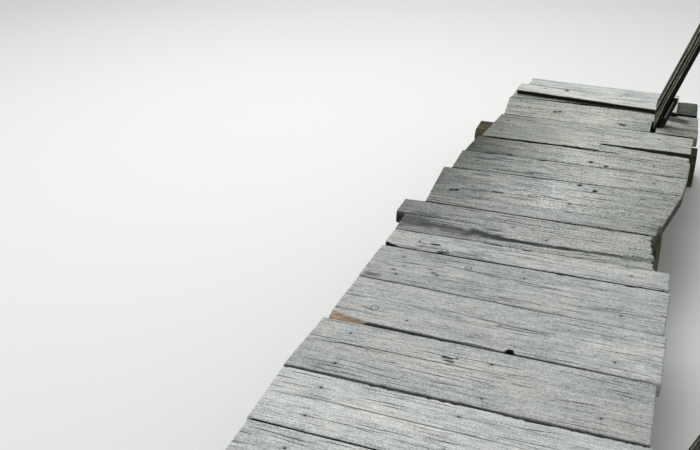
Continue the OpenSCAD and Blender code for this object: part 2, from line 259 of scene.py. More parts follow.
# For each board, from near to far: cracks as (from x, to x, place at its start, place at its end, width,
# depth) with places as shares of the width; knots as (x, place, radius); nails and pits as (x, place),
# where a pit has no head left; stains as (from x, to x, place at its start, place at its end, half width,
# strength); worn as (side, from x, to x, depth at its start, depth at its end) for an edge worn back,
# where side 0 is the near edge; chips and dirt, the painted shade and dirt in the joints, for
# the near and the far edge; light, moss and warm at the left end, the middle and the right end, where the
# light of some boards also holds painted shade; brokenNear and brokenFar as the length gone from a left
# corner, splinter as (length, width, depth) gone from the near left corner, bite as (x, half length, depth)
# gone from the near edge, strip as (from x, depth) gone from that edge, rotRight as the depth of rot at the
# right end; damp as painted shadow all along the near edge
boardMarks = {
    1: {"light": (0.92, 1.0, 0.9), "moss": (0.2, 0.05, 0.25),
        "nails": [(-372, 0.3), (-368, 0.72), (-52, 0.28), (-46, 0.74), (338, 0.3), (344, 0.7)],
        "knots": [(120, 0.62, 12)]},
    2: {"light": (0.98, 1.04, 0.9), "moss": (0.15, 0.03, 0.3),
        "nails": [(-366, 0.28), (-360, 0.75), (-38, 0.3), (-30, 0.7), (356, 0.22)],
        "knots": [(-210, 0.3, 10)]},
    3: {"light": (1.02, 1.1, 1.0), "moss": (0.12, 0.0, 0.15),
        "nails": [(-360, 0.26), (-354, 0.7), (-22, 0.3), (-18, 0.76), (334, 0.3), (336, 0.74)],
        "cracks": [(-300, 210, 0.42, 0.47, 2.2, 7)]},
    4: {"light": (1.06, 1.12, 1.06),
        "nails": [(-356, 0.3), (-350, 0.7), (-8, 0.26), (-4, 0.72), (332, 0.28), (336, 0.7)],
        "knots": [(250, 0.3, 13)], "cracks": [(-120, 400, 0.62, 0.57, 2.0, 6)]},
    5: {"light": (1.13, 1.20, 1.06),
        "nails": [(6, 0.80), (2, 0.22), (-352, 0.24), (-356, 0.76), (336, 0.3), (330, 0.72)],
        "cracks": [(-450, 240, 0.56, 0.53, 2.8, 8), (-267, -140, 0.27, 0.21, 1.3, 4),
                   (-120, 70, 0.44, 0.38, 1.2, 4), (180, 430, 0.22, 0.25, 1.8, 5)], "chips": (0.0, 3.5),
        "dirt": (1.0, 0.3)},
    # board 6's lower light at the right end is partly painted shade of leaves
    6: {"light": (0.82, 0.96, 0.80),
        "nails": [(-369, 0.78), (34, 0.75), (42, 0.14), (334, 0.24), (-360, 0.20)],
        "cracks": [(-455, 150, 0.58, 0.60, 2.8, 9), (-306, 81, 0.39, 0.33, 1.2, 4),
                   (-197, 60, 0.27, 0.25, 1.0, 4)],
        "stains": [(-98, -74, 0.713, 0.71, 3.4, 1.8), (-78, -56, 0.69, 0.735, 3.0, 1.6),
                   (-90, -64, 0.66, 0.65, 3.6, 1.7)], "chips": (2.5, 0.0), "dirt": (0.5, 1.0)},
    7: {"light": (0.85, 0.86, 1.0), "nails": [(14, 0.52), (338, 0.25), (-240, 0.22)],
        "knots": [(-348, 0.36, 10)],
        "cracks": [(-320, -40, 0.57, 0.45, 1.2, 4), (-198, 200, 0.62, 0.51, 2.2, 7),
                   (-123, 140, 0.36, 0.32, 1.0, 3)], "worn": [(0, -345, 30, 6.0, 0.5)], "dirt": (0.55, 1.0),
        "splinter": (128, 30, 12), "bite": (68, 13, 10)},
    8: {"light": (0.74, 0.84, 0.90),
        "nails": [(-358, 0.74), (28, 0.72), (-350, 0.22), (330, 0.26), (-228, 0.40)],
        "knots": [(-148, 0.74, 9)],
        "cracks": [(-271, 150, 0.71, 0.60, 2.0, 6), (-348, -32, 0.40, 0.41, 1.2, 4),
                   (60, 420, 0.30, 0.27, 1.4, 4)],
        "stains": [(-440, -395, 0.08, 0.10, 11, 0.85), (-266, -250, 0.53, 0.52, 3.2, 1.4),
                   (-250, -234, 0.44, 0.43, 3.2, 1.2), (-350, -334, 0.50, 0.49, 3.2, 1.8),
                   (-372, -358, 0.34, 0.33, 3.0, 1.6)]},
    9: {"light": (0.83, 0.89, 0.88), "nails": [(-340, 0.5), (334, 0.5)], "knots": [(-246, 0.16, 9)],
        "cracks": [(-352, -262, 0.42, 0.45, 2.6, 6)],
        "stains": [(-300, -272, 0.44, 0.45, 4.0, 2.0), (-338, -262, 0.21, 0.24, 5, 1.2),
                   (-262, -232, 0.06, 0.07, 6, 2.2), (-215, -130, 0.19, 0.21, 6, 0.8)],
        "worn": [(0, -480, -418, 26.0, 18.0)], "chips": (2.5, 0.0)},
    # the low light at the left ends of boards 10 to 14 is partly painted shade of foliage and partly algae;
    # board 10's wide stains at its left end, beside the split, are partly painted shadow
    10: {"light": (0.38, 0.72, 0.86), "warm": (0.0, 0.0, 0.2), "moss": (0.1, 0.0, 0.3),
         "nails": [(48, 0.37), (-73, 0.60), (326, 0.3)],
         "cracks": [(-482, -140, 0.52, 0.54, 7.0, 33), (-60, 330, 0.62, 0.66, 2.0, 6)],
         "stains": [(-470, -380, 0.32, 0.34, 34, 0.8), (-400, -200, 0.30, 0.21, 28, 0.9),
                    (-300, -180, 0.22, 0.2, 14, 1.0), (-205, -90, 0.29, 0.22, 20, 1.3),
                    (-95, 130, 0.21, 0.20, 11, 1.6), (120, 300, 0.20, 0.23, 9, 1.3),
                    (-160, -105, 0.42, 0.44, 7, 0.9), (-300, -215, 0.40, 0.43, 5, 0.6),
                    (290, 410, 0.23, 0.3, 16, 0.75), (-420, -330, 0.62, 0.6, 16, 0.5)], "brokenNear": 36,
         "rotRight": 13},
    11: {"light": (0.42, 0.76, 0.68), "warm": (0.0, 0.0, 0.2), "moss": (0.1, 0.0, 0.35),
         "nails": [(-330, 0.5), (322, 0.5)], "rotRight": 8},
    12: {"light": (0.33, 0.95, 0.60), "warm": (0.0, 0.0, 0.3), "moss": (0.25, 0.05, 0.08),
         "nails": [(78, 0.24), (318, 0.72)], "pits": [(-343, 0.17), (-326, 0.19), (149, 0.79), (90, 0.93)],
         "knots": [(-55, 0.33, 12)],
         "cracks": [(-29, 310, 0.72, 0.74, 2.2, 6), (-400, -150, 0.60, 0.64, 1.6, 4),
                    (120, 420, 0.34, 0.30, 1.8, 5)],
         "stains": [(-310, -170, 0.24, 0.29, 12, 0.75), (-200, -165, 0.30, 0.30, 5, 1.6),
                    (-150, -40, 0.17, 0.21, 10, 0.6), (-300, -240, 0.84, 0.86, 7, 0.9),
                    (-130, -20, 0.30, 0.34, 5, 0.8)]},
    13: {"light": (0.30, 0.90, 0.72), "warm": (0.0, 0.1, 0.3), "moss": (0.3, 0.1, 0.1),
         "nails": [(344, 0.48), (-318, 0.5), (96, 0.6)],
         "cracks": [(-240, -60, 0.13, 0.18, 2.4, 5), (-150, 60, 0.86, 0.85, 2.0, 4)],
         "stains": [(-330, -230, 0.66, 0.70, 7, 0.8), (-320, -200, 0.36, 0.39, 5, 0.7),
                    (-260, -120, 0.82, 0.78, 5, 0.8), (-240, -90, 0.18, 0.14, 6, 0.7),
                    (-110, -60, 0.24, 0.22, 8, 1.0)]},
    14: {"light": (0.12, 0.92, 0.66), "warm": (0.0, 0.2, 0.3), "moss": (0.3, 0.08, 0.08),
         "nails": [(-306, 0.5), (330, 0.5)], "pits": [(99, 0.25), (160, 0.1)],
         "cracks": [(-115, 355, 0.84, 0.70, 2.4, 6), (-300, 20, 0.42, 0.45, 1.6, 4)],
         "stains": [(-300, -200, 0.08, 0.06, 7, 1.2), (-340, -250, 0.5, 0.52, 6, 0.6),
                    (-200, -110, 0.12, 0.08, 5, 0.7)], "worn": [(1, -330, -190, 4.0, 0.5)],
         "chips": (0.0, 3.0)},
    15: {"light": (0.42, 0.90, 0.84), "warm": (0.3, 0.3, 0.3), "moss": (0.3, 0.0, 0.05),
         "nails": [(-300, 0.3), (-292, 0.74), (108, 0.62), (330, 0.74)],
         "cracks": [(96, 464, 0.265, 0.265, 11, 32), (-59, 300, 0.46, 0.44, 2.4, 5),
                    (-265, 255, 0.79, 0.70, 3.0, 7), (-40, 110, 0.69, 0.645, 3.0, 6),
                    (325, 462, 0.60, 0.54, 3.4, 6)],
         "worn": [(0, -200, 120, 3.5, 3.5), (1, -350, -210, 3.0, 1.0), (1, 335, 490, 8.0, 14.0)],
         "chips": (3.0, 2.0), "strip": (112, 11)},
    # board 16's low light at its right end is partly painted shadow of the post, and board 17's dark right
    # end is painted shade over moss
    16: {"light": (0.74, 0.90, 0.60), "warm": (0.3, 0.35, 0.3), "moss": (0.2, 0.0, 0.15),
         "nails": [(-290, 0.5), (346, 0.3)],
         "pits": [(165, 0.204), (179, 0.173), (-121, 0.462), (-101, 0.49)],
         "cracks": [(-350, -20, 0.94, 0.836, 6.0, 30), (-345, 140, 0.21, 0.245, 4.2, 9),
                    (-250, 120, 0.56, 0.53, 1.8, 4), (40, 270, 0.40, 0.37, 2.0, 4),
                    (-40, 250, 0.70, 0.68, 1.8, 4)],
         "stains": [(345, 430, 0.78, 0.72, 26, 1.2), (350, 480, 0.35, 0.3, 9, 0.7),
                    (340, 420, 0.12, 0.1, 7, 0.6)], "worn": [(0, -350, -200, 4.0, 1.0)]},
    17: {"light": (0.75, 0.5, 0.16), "warm": (0.3, 0.3, 0.3), "moss": (0.3, 0.05, 0.45),
         "nails": [(-282, 0.5), (120, 0.5)],
         "stains": [(352, 480, 0.2, 0.16, 14, 0.7), (380, 480, 0.6, 0.62, 10, 0.6)]},
    18: {"light": (1.04, 1.08, 1.02), "nails": [(-210, 0.5), (-20, 0.5), (300, 0.5)],
         "knots": [(90, 0.6, 9)]},
    # board 19's near edge and near side get painted shadow
    19: {"light": (1.08, 1.14, 1.08), "warm": (0.1, 0.1, 0.1),
         "nails": [(-205, 0.35), (130, 0.5), (318, 0.5)], "pits": [(-106, 0.42)], "knots": [(150, 0.62, 8)],
         "cracks": [(-324, 76, 0.535, 0.436, 8.0, 20), (40, 330, 0.30, 0.36, 1.8, 4)], "brokenFar": 38,
         "damp": 0.95},
}


def crackRun(xs, start, stop, width, depth, row):
    # One crack's half width and depth at every station: it thins out towards both ends, or towards one
    # where it runs in from the board's end, and its width wavers.
    low, high = min(start, stop), max(start, stop)
    openLow, openHigh = low <= xs[0] + 1, high >= xs[-1] - 1
    u = np.clip((xs - low) / (high - low), 0, 1)
    lowTaper = 1 - u if openLow else np.clip(u * 3.5, 0, 1)
    highTaper = u if openHigh else np.clip((1 - u) * 3.5, 0, 1)
    inside = (xs >= low - 0.1) & (xs <= high + 0.1)
    shape = (lowTaper * highTaper) ** 0.7 * (1 + 0.25 * smoothNoise(xs / 14, row, 77)) * inside
    return 0.5 * width * shape, depth * shape


def crackLines(board, look, rng):
    # Lines along a board that cracks follow: for each its column, its place across at every station as a
    # share of the width, and the cracks' half width and depth at every station. Lines are added in the
    # widest gaps until there are enough, and each may get splits from the ends and short cracks of its
    # own.
    xs, width, columns = board.xs, board.meanWidth, board.columns
    wanted = max(2, int(width / look["lineGap"]))
    lines = [dict(t0=t0, t1=t1, x0=x0, x1=x1, cuts=[(x0, x1, wide, deep)])
             for x0, x1, t0, t1, wide, deep in board.marks.get("cracks", [])]
    while len(lines) < wanted:
        taken = sorted([0.0, 1.0] + [0.5 * (q["t0"] + q["t1"]) for q in lines])
        gaps = np.diff(taken)
        k = int(np.argmax(gaps))
        t = taken[k] + gaps[k] * rng.uniform(0.4, 0.6)
        lines.append(dict(t0=t, t1=t + rng.uniform(-0.015, 0.015), x0=xs[0], x1=xs[-1], cuts=[]))
    lines.sort(key=lambda q: q["t0"] + q["t1"])
    middle = 0.5 * (xs[0] + xs[-1])
    lastColumn = 0
    for n, q in enumerate(lines):
        fixed = bool(q["cuts"])
        for side in (-1, 1):  # a split from an end, where no crack of the marks is
            reach = rng.uniform(*look["splitLength"])
            taken = fixed and (side < 0) == (q["x0"] + q["x1"] < 2 * middle)
            if rng.random() < look["splitShare"] and not taken:
                start = xs[0] if side < 0 else xs[-1]
                wide, deep = rng.uniform(*look["splitWidth"]), rng.uniform(*look["splitDepth"])
                q["cuts"].append((start, start - side * reach, wide, deep))
        if not fixed:
            for _ in range(rng.integers(0, 3)):
                start = rng.uniform(xs[0] + 60, xs[-1] - 160)
                stop = start + rng.uniform(*look["crackLength"])
                wide = look["crackWidth"] * rng.uniform(0.3, 0.8)
                q["cuts"].append((start, stop, wide, look["crackDepth"] * rng.uniform(0.3, 0.9)))
            if not q["cuts"]:
                q["cuts"].append((middle, middle + 30, 0.3, 0.5))
        t = np.interp(xs, [q["x0"], q["x1"]], [q["t0"], q["t1"]])
        q["place"] = t + 0.9 / width * smoothNoise(xs / 38, 0.5, int(rng.integers(9999)))
        runs = [crackRun(xs, *cut, n + 0.5) for cut in q["cuts"]]
        q["half"], q["depth"] = (np.maximum.reduce(part) for part in zip(*runs))
        q["column"] = max(lastColumn + 6, int(round(0.5 * (q["t0"] + q["t1"]) * columns)))
        lastColumn = q["column"]
    limit = columns - 6
    for q in reversed(lines):
        q["column"] = min(q["column"], limit)
        limit = q["column"] - 6
    return lines


def openBoard(node, number, look, slot, rng):
    # What the steps of a board share: its marks, its CAD plan, the x of its mesh lines, and the y and width
    # between its long edges at each of them. A left corner that has broken off is put back here.
    board = SimpleNamespace(node=node, number=number, seed=40 * number, slot=slot, marks=boardMarks[number])
    (nl, nr, fr, fl), board.low, board.high = cadPlan(node)
    if "brokenNear" in board.marks:
        nl = nl - [board.marks["brokenNear"] + 1.5, 0]
    if "brokenFar" in board.marks:
        fl = fl - [board.marks["brokenFar"], 0]
    board.corners = nl, nr, fr, fl
    board.length = 0.5 * (nr[0] - nl[0] + fr[0] - fl[0])
    board.meanWidth = 0.5 * (fl[1] - nl[1] + fr[1] - nr[1])
    board.columns = 4 * int(round(board.meanWidth / look["columnGap"] / 4))
    inner = np.linspace(8, board.length - 8, int(board.length / look["stationGap"]))
    s = np.concatenate([edgeSteps, inner, board.length - edgeSteps[::-1]])
    left = 0.5 * (nl[0] + fl[0])
    if slot:
        s = np.sort(np.concatenate([s] + [[w - 0.4 - left, w + 0.4 - left] for w in slot["walls"]]))
    board.s, board.xs, board.share = s, left + s, s / board.length
    board.yNear = nl[1] + (nr[1] - nl[1]) * board.share
    board.yFar = fl[1] + (fr[1] - fl[1]) * board.share
    board.width = board.yFar - board.yNear
    wearEdges(board, look)
    board.lines = crackLines(board, look, rng)
    return board


def wearEdges(board, look):
    # How far the near and far edges are worn back: a slow wander with chips, the stretches that the marks
    # name, and half an ellipse where a knot has fallen out of the near edge.
    marks, xs, seed = board.marks, board.xs, board.seed
    board.chip = [rise(smoothNoise(xs / 42, v, seed + 3), 0.35, 0.9) for v in (0.5, 7.5)]
    board.back = []
    for v, chip in zip((0.5, 9.5), board.chip):
        wander = 0.35 + 0.35 * layeredNoise(xs / 60, v, seed + 5)
        board.back.append(np.clip(wander + look["chip"] * 0.7 * chip, 0, None))
    for side, amount in enumerate(marks.get("chips", (0, 0))):
        ragged = rise(layeredNoise(xs / 17, 3.5 + 6 * side, seed + 4, 2), 0.15, 0.9)
        board.back[side] = board.back[side] + amount * ragged
    for side, x0, x1, deep0, deep1 in marks.get("worn", []):
        run = rise(xs, x0 - 8, x0 + 8) * (1 - rise(xs, x1 - 30, x1 + 30))
        board.back[side] = board.back[side] + np.interp(xs, [x0, x1], [deep0, deep1]) * run
    board.bite = np.zeros_like(xs)
    if "bite" in marks:
        x, reach, deep = marks["bite"]
        board.bite = np.sqrt(np.clip(1 - ((xs - x) / reach) ** 2, 0, 1))
        board.back[0] = board.back[0] + deep * board.bite


def spreadColumns(board, look):
    # The places of the mesh lines across the board at every station: five hug each crack line, four
    # follow each edge, and the rest lie evenly between them.
    width, back, columns = board.width, board.back, board.columns
    anchorColumn, anchorPlace = [3], [back[0] + edgeSteps[3]]
    for q in board.lines:
        half = np.maximum(q["half"], 0.4)
        middle = q["place"] * width
        anchorColumn += [q["column"] + k for k in (-2, -1, 0, 1, 2)]
        wide = half + look["hug"]
        anchorPlace += [middle - wide, middle - half, middle, middle + half, middle + wide]
    anchorColumn.append(columns - 3)
    anchorPlace.append(width - back[1] - edgeSteps[3])
    every = np.arange(columns + 1)
    across = np.stack(anchorPlace, 1) @ np.stack([np.interp(every, anchorColumn, row)
                                                  for row in np.eye(len(anchorColumn))])
    for k, step in enumerate(edgeSteps):
        across[:, k] = back[0] + step
        across[:, columns - k] = width - back[1] - step
    return across


def wornEnds(board, across):
    # how far the left and the right end are worn back at each place across: a little everywhere, much
    # where one has rotted, and all of a broken corner as far as the split beside it
    marks, seed = board.marks, board.seed
    left, right = (np.clip(0.7 + 1.1 * layeredNoise(across / 11, v, seed + k, 2), 0, None)
                   for v, k in ((0.5, 8), (5.5, 9)))
    if "rotRight" in marks:
        right = right + marks["rotRight"] * np.clip(0.35 + layeredNoise(across / 26, 3.5, seed + 2), 0, 1.3)
    for key, way in (("brokenNear", -1), ("brokenFar", 1)):
        if key in marks:
            split = next(q["column"] for q in board.lines if q["cuts"][0][3] >= deepCut)
            gone = way * (np.arange(board.columns + 1) - split) > 0
            left = np.where(gone, marks[key] + 2.5 * smoothNoise(across / 7, 1.5, seed + 12), left)
    return left, right


def layTop(board, look):
    # x and y of the top's points: the plan is filled between its ends and edges, and the ends' wear fades out
    # along the board. Inside the slot all mesh lines are pushed together behind it.
    (nl, nr, fr, fl), slot, xs, width = board.corners, board.slot, board.xs, board.width
    across = spreadColumns(board, look)
    board.t = t = across / width[:, None]
    left, right = wornEnds(board, across)
    nearLeft, nearRight = np.exp(-board.s / 55)[:, None], np.exp(-(board.length - board.s) / 55)[:, None]
    xl, xr = nl[0] + (fl[0] - nl[0]) * t, nr[0] + (fr[0] - nr[0]) * t
    board.x = xl + (xr - xl) * board.share[:, None] + left * nearLeft - right * nearRight
    board.toEdge = np.minimum(across - board.back[0][:, None], (width - board.back[1])[:, None] - across)
    if slot:
        middle = 0.5 * (slot["walls"][0] + slot["walls"][1])
        square = (1 - rise(np.abs(xs - middle), 18, 90))[:, None]
        board.x = board.x + square * (xs[:, None] - board.x)  # mesh lines near the slot run square across
        inSlot = ((xs > slot["walls"][0]) & (xs < slot["walls"][1])).astype(float)
        squeeze = (1 - inSlot * slot["deep"] / width)[:, None]
        across = across * squeeze + (inSlot * slot["deep"])[:, None] * (1 - slot["side"])
        for q in board.lines:
            q["depth"] = q["depth"] * (1 - inSlot)
    board.across = across
    board.y = board.yNear[:, None] + across
    edgeY = board.yNear.mean()
    board.knots = [(x, edgeY + place * board.meanWidth, r) for x, place, r in board.marks.get("knots", [])]


def topRelief(board, look, rng):
    # Height of the top under its highest plane: ridges along the grain and broad hollows, a cup and a twist,
    # quarter circles at the edges and ends, chips at the edges and small notches at the ends.
    x, t, across, seed, share = board.x, board.t, board.across, board.seed, board.share[:, None]
    bent = bendRound(x, board.y, board.knots)
    ridge = 0.6 * smoothNoise(x / 240, bent / 8.5, seed + 15)
    ridge = ridge + 0.4 * smoothNoise(x / 120, bent / 4.6, seed + 16)
    hollow = layeredNoise(x / 260, board.y / 70, seed + 17, 2)
    z = -look["ridge"] * (0.5 + 0.5 * ridge) - look["dish"] * (0.5 + 0.5 * hollow)
    cup = look["cup"] * rng.uniform(-0.6, 1)
    twist = look["twist"] * rng.uniform(-1, 1)
    z = z - np.clip(cup, 0, None) * 0.3 + cup * 0.6 * ((2 * t - 1) ** 2 - 0.5)
    z = z + twist * (share - 0.5) * (t - 0.5)
    end = np.minimum(board.s, board.length - board.s)[:, None]
    radius = look["edgeRadius"] * (1 + 0.22 * smoothNoise(board.xs / 80, 0.5, seed + 18))[:, None]
    z = z - roundedDrop(board.toEdge, radius) - roundedDrop(end, look["endRadius"])
    for chip, distance in zip(board.chip, (across, board.width[:, None] - across)):
        z = z - look["chip"] * chip[:, None] * np.clip(1 - distance / look["chipReach"], 0, 1)
    return z - look["endNotch"] * np.exp(-end / 9) * (0.5 + 0.5 * smoothNoise(across / 4, 8.5, seed + 19))


def darken(mark, columns, amount):
    # raise a mark in some mesh lines to at least this amount
    mark[:, columns] = np.maximum(mark[:, columns], amount)


besideCracks = ((1, 0.08, 0.45), (2, 0.03, 0.12))  # mesh lines away, share of a crack's depth, darkness


def pressCracks(board):
    # a crack line goes down by its depth, and its neighbours a little; all get dark
    board.cavity = np.zeros_like(board.z)
    for q in board.lines:
        strong = rise(q["depth"], 0.3, 2.5) * np.clip(q["half"] / 0.8, 0.4, 1)
        board.z[:, q["column"]] -= q["depth"]
        darken(board.cavity, q["column"], strong)
        for k, drop, dark in besideCracks:
            for column in (q["column"] - k, q["column"] + k):
                board.z[:, column] -= drop * q["depth"].clip(0, 6)
                darken(board.cavity, column, dark * strong)


spotLook = {  # depth, radius and darkness of the hollow round a nail, and of a pit
    "nails": (1.6, 4.0, 0.9),
    "pits": (7.0, 6.8, 2.4),
}


def pressSpots(board):
    # knots swell a little inside a sunk rim, and nails and pits are bell-shaped hollows with a stain that
    # runs along the grain
    board.knot = knotMark(board.x, board.y, board.knots)
    rim = np.exp(-(((board.knot - 0.5) / 0.06) ** 2))
    board.z = board.z + 0.4 * rise(board.knot, 0.55, 0.9) - 0.8 * rim
    board.stain = np.zeros_like(board.z)
    for kind, (deep, radius, dark) in spotLook.items():
        for x, t in board.marks.get(kind, []):
            dx, dy2 = board.x - x, (board.t - t) ** 2 * board.meanWidth**2
            bell = np.exp(-(dx**2 + dy2) / radius**2)
            board.z = board.z - deep * bell
            board.cavity = np.maximum(board.cavity, np.clip(dark * bell, 0, 1))
            board.stain = np.maximum(board.stain, 0.5 * np.exp(-((dx / 1.9) ** 2 + dy2) / 6.0**2))


def spreadStains(board):
    # a stain is a band round a wandering line, with ragged edges and faded ends
    x, across, seed = board.x, board.across, board.seed
    for x0, x1, t0, t1, half, strength in board.marks.get("stains", []):
        wander = min(3.0, half) * smoothNoise(x / 40, 1.5, seed + 21)
        middle = np.interp(x, [x0, x1], [t0, t1]) * board.width[:, None] + wander
        fade = min(25, (x1 - x0) / 3)
        ends = rise(x, x0 - fade, x0 + 0.6 * fade) * (1 - rise(x, x1 - 0.6 * fade, x1 + fade))
        ragged = half * (1 + 0.45 * layeredNoise(x / 26, across / 14, seed + 22, 2))
        band = 1 - rise(np.abs(across - middle), 0.45 * ragged, 1.35 * ragged)
        board.stain = np.maximum(board.stain, strength * ends * band)


def tearSplinter(board):
    # a tapering splinter gone from the near left corner leaves a sloping, striped bed of fresh wood
    board.fresh = np.zeros_like(board.z)
    if "splinter" in board.marks:
        reach, wide, deep = board.marks["splinter"]
        taper = np.clip(1 - board.s / reach, 0, 1)[:, None] ** 0.8
        inside = wide * taper * (1 + 0.22 * smoothNoise(board.x / 16, 0.5, board.seed + 24))
        bed = np.clip(1 - board.across / np.maximum(inside, 0.1), 0, 1) * (inside > 1)
        stripes = 0.85 + 0.15 * smoothNoise(board.x / 30, board.across / 3.0, board.seed + 25)
        board.z = board.z - deep * bed**0.7 * stripes
        board.fresh = rise(bed, 0.0, 0.12)


# painted shadow, with dirt, on the mesh lines along the split
splitShadowSteps = ((0, 1.0), (1, 0.95), (2, 0.3), (-1, 0.8), (-2, 0.3))  # mesh lines away, darkness


def dropStrip(board):
    # beyond the deep split beside the near edge the strip of wood has sunk, unevenly, with painted shadow and
    # dirt along the split
    if "strip" in board.marks:
        x, across, seed = board.x, board.across, board.seed
        start, deep = board.marks["strip"]
        column = next(q["column"] for q in board.lines if q["cuts"][0][3] >= deepCut)
        gone = rise(x + 7 * smoothNoise(across / 9, 0.5, seed + 26), start - 3, start + 5)
        gone = gone * (np.arange(board.columns + 1) < column)
        slope = 0.45 + 0.75 * rise(x, start, board.xs[-1])
        board.z = board.z - gone * (deep * slope + 1.2 * layeredNoise(x / 45, across / 7, seed + 27))
        board.stain = np.maximum(board.stain, 0.15 * gone)
        for k, amount in splitShadowSteps:
            darken(board.cavity, column + k, amount * rise(board.xs, start, start + 12))


# painted shade and dirt in the joints between boards, strongest on the first lines from an edge
edgeShadeAndDirt = (0.8, 0.42, 0.12)  # darkness of the first mesh lines from an edge


def layJointShadeAndDirt(board):
    # Painted shade and dirt along the long edges, heavy where another board lies close and the joint is in
    # shade, and in the bite. What it returns is how dark each edge's side is at every station.
    number = board.number if board.node.startswith("board") else 0
    dirt = []
    for side, other in enumerate(("board_%02d" % (number - 1), "board_%02d" % (number + 1))):
        close = np.zeros_like(board.xs)
        if number and other in nodes:
            (nl, nr, fr, fl), _, _ = cadPlan(other)
            start, stop = (nl[0], nr[0]) if side else (fl[0], fr[0])
            close = rise(board.xs, start, start + 12) * (1 - rise(board.xs, stop - 12, stop))
        dirt.append((0.12 + 0.88 * close) * board.marks.get("dirt", (1, 1))[side])
    # painted shadow all along the near edge, where the marks give one
    dirt[0] = np.maximum(dirt[0], board.marks.get("damp", 0))
    for side, (first, way) in enumerate(((0, 1), (board.columns, -1))):
        for k, amount in enumerate(edgeShadeAndDirt):
            darken(board.cavity, first + way * k, amount * dirt[side])
    darken(board.cavity, slice(0, 4), board.bite[:, None])
    return dirt


def closeRound(board, look):
    # The whole ring at every station: the top, the far side down, the underside back on every fourth mesh
    # line, and the near side up. The sides and the underside are a little rough.
    x, y, z, ks, seed = board.x, board.y, board.z, look["sideSteps"], board.seed
    down = (np.arange(ks) + 0.6) / (ks + 0.2)
    sides = []
    for k, edge, way in ((0, slice(0, 1), 1), (1, slice(-1, None), -1)):
        rough = 0.5 + 0.5 * layeredNoise(board.xs[:, None] / 34, down * 4 + 0.3 + 9 * k, seed + 30, 2)
        sideZ = z[:, edge] + (board.low + 0.8 - z[:, edge]) * down
        sides.append(np.stack([np.repeat(x[:, edge], ks, 1), y[:, edge] + way * 0.9 * rough, sideZ], -1))
    bottomX, bottomY = x[:, ::4], y[:, ::4]
    bottomZ = board.low + 0.25 + 0.25 * layeredNoise(bottomX / 90, bottomY / 14, seed + 33, 2)
    bottom = np.stack([bottomX, bottomY, bottomZ], -1)
    return np.concatenate([np.stack([x, y, z], -1), sides[1], bottom[:, ::-1], sides[0][:, ::-1]], 1)


def ringMarks(board, look, dirt):
    # cavity, stain, fresh wood and knots for the whole ring; the sides get the same painted shade and dirt as
    # their edges
    ks, under = look["sideSteps"], board.columns // 4
    stations = len(board.xs)
    rest = np.zeros((stations, 2 * ks + under + 1))
    farSide, bottom, nearSide = (np.repeat(dirt[1][:, None], ks, 1), np.full((stations, under + 1), 0.10),
                                 np.repeat(np.maximum(dirt[0], board.bite)[:, None], ks, 1))
    cavity = np.concatenate([board.cavity, farSide, bottom, nearSide], 1)
    stain, fresh, knot = (np.concatenate([a, rest], 1) for a in (board.stain, board.fresh, board.knot))
    if "splinter" in board.marks:
        fresh[:, -ks:] = (fresh[:, :1] > 0.5) * 0.75 * (np.arange(ks) > ks - 3)
    return np.stack([cavity, stain, fresh, knot], -1)


def ringTone(board, look, p):
    # light, warm and mossy tones that run from the left end over the middle to the right end, where the light
    # also holds painted shade on some boards; the wood is darker along its edges, and its underside darker
    # and warmer
    ks, xs = look["sideSteps"], board.xs
    defaults = (("light", (1, 1, 1)), ("warm", (0, 0, 0)), ("moss", (0, 0, 0)))
    places = [xs[0], 0.5 * (xs[0] + xs[-1]), xs[-1]]
    light, warm, moss = (np.interp(p[..., 0], places, board.marks.get(key, usual))
                         for key, usual in defaults)
    toEdge = np.minimum(p[..., 1] - board.yNear[:, None], board.yFar[:, None] - p[..., 1])
    light = light * (1 - look["edgeDark"] * np.exp(-np.clip(toEdge, 0, None) / 5))
    belly = np.zeros(p.shape[:2])
    belly[:, board.columns + 1 + ks : p.shape[1] - ks] = 1
    return np.stack([light * (1 - look["bellyDark"] * belly), warm + look["bellyWarm"] * belly, moss], -1)


def ringGrain(board, p, rng):
    # the grain's own coordinates in metres, and the distance from a pith line that wanders far below or above
    x, z = p[..., 0], p[..., 2]
    across = bendRound(x, p[..., 1], board.knots)
    pithY = board.yNear.mean() + board.meanWidth * rng.uniform(0.3, 0.7)
    pithZ = board.low - rng.uniform(20, 110) * rng.choice([1, 1, -1.5])
    sway = 5.0 * smoothNoise(x / 300, 0.5, board.seed + 35)
    sway = sway + 1.5 * smoothNoise(x / 90, 3.5, board.seed + 36)
    rings = np.sqrt((across - pithY) ** 2 + (z - pithZ + sway) ** 2)
    grain = np.stack([x * 0.001 + 3.7 * board.number, across * 0.001, z * 0.001], -1)
    return grain, rings[..., None] * 0.001


def boardEnds(board, look, stations, ring):
    # end faces: each bottom piece spans four top ones, and the outer two take the sides in
    columns, ks, under = board.columns, look["sideSteps"], board.columns // 4
    top, bottom = np.arange(columns + 1), columns + 1 + ks + (under - np.arange(under + 1))
    farSide = columns + 1 + np.arange(ks)
    nearSide = columns + 1 + ks + under + 1 + np.arange(ks)
    b = np.arange(1, under - 1)
    middle = np.stack([bottom[b], bottom[b + 1]] + [top[4 * b + 4 - k] for k in range(5)], -1)
    first = np.concatenate([bottom[:2], top[4::-1], nearSide[::-1]])[None]
    last = np.concatenate([bottom[under - 1 :], farSide[::-1], top[: columns - 5 : -1]])[None]
    shift = (stations - 1) * ring
    return [faces for group in (middle, first, last) for faces in (group + shift, group[:, ::-1])]


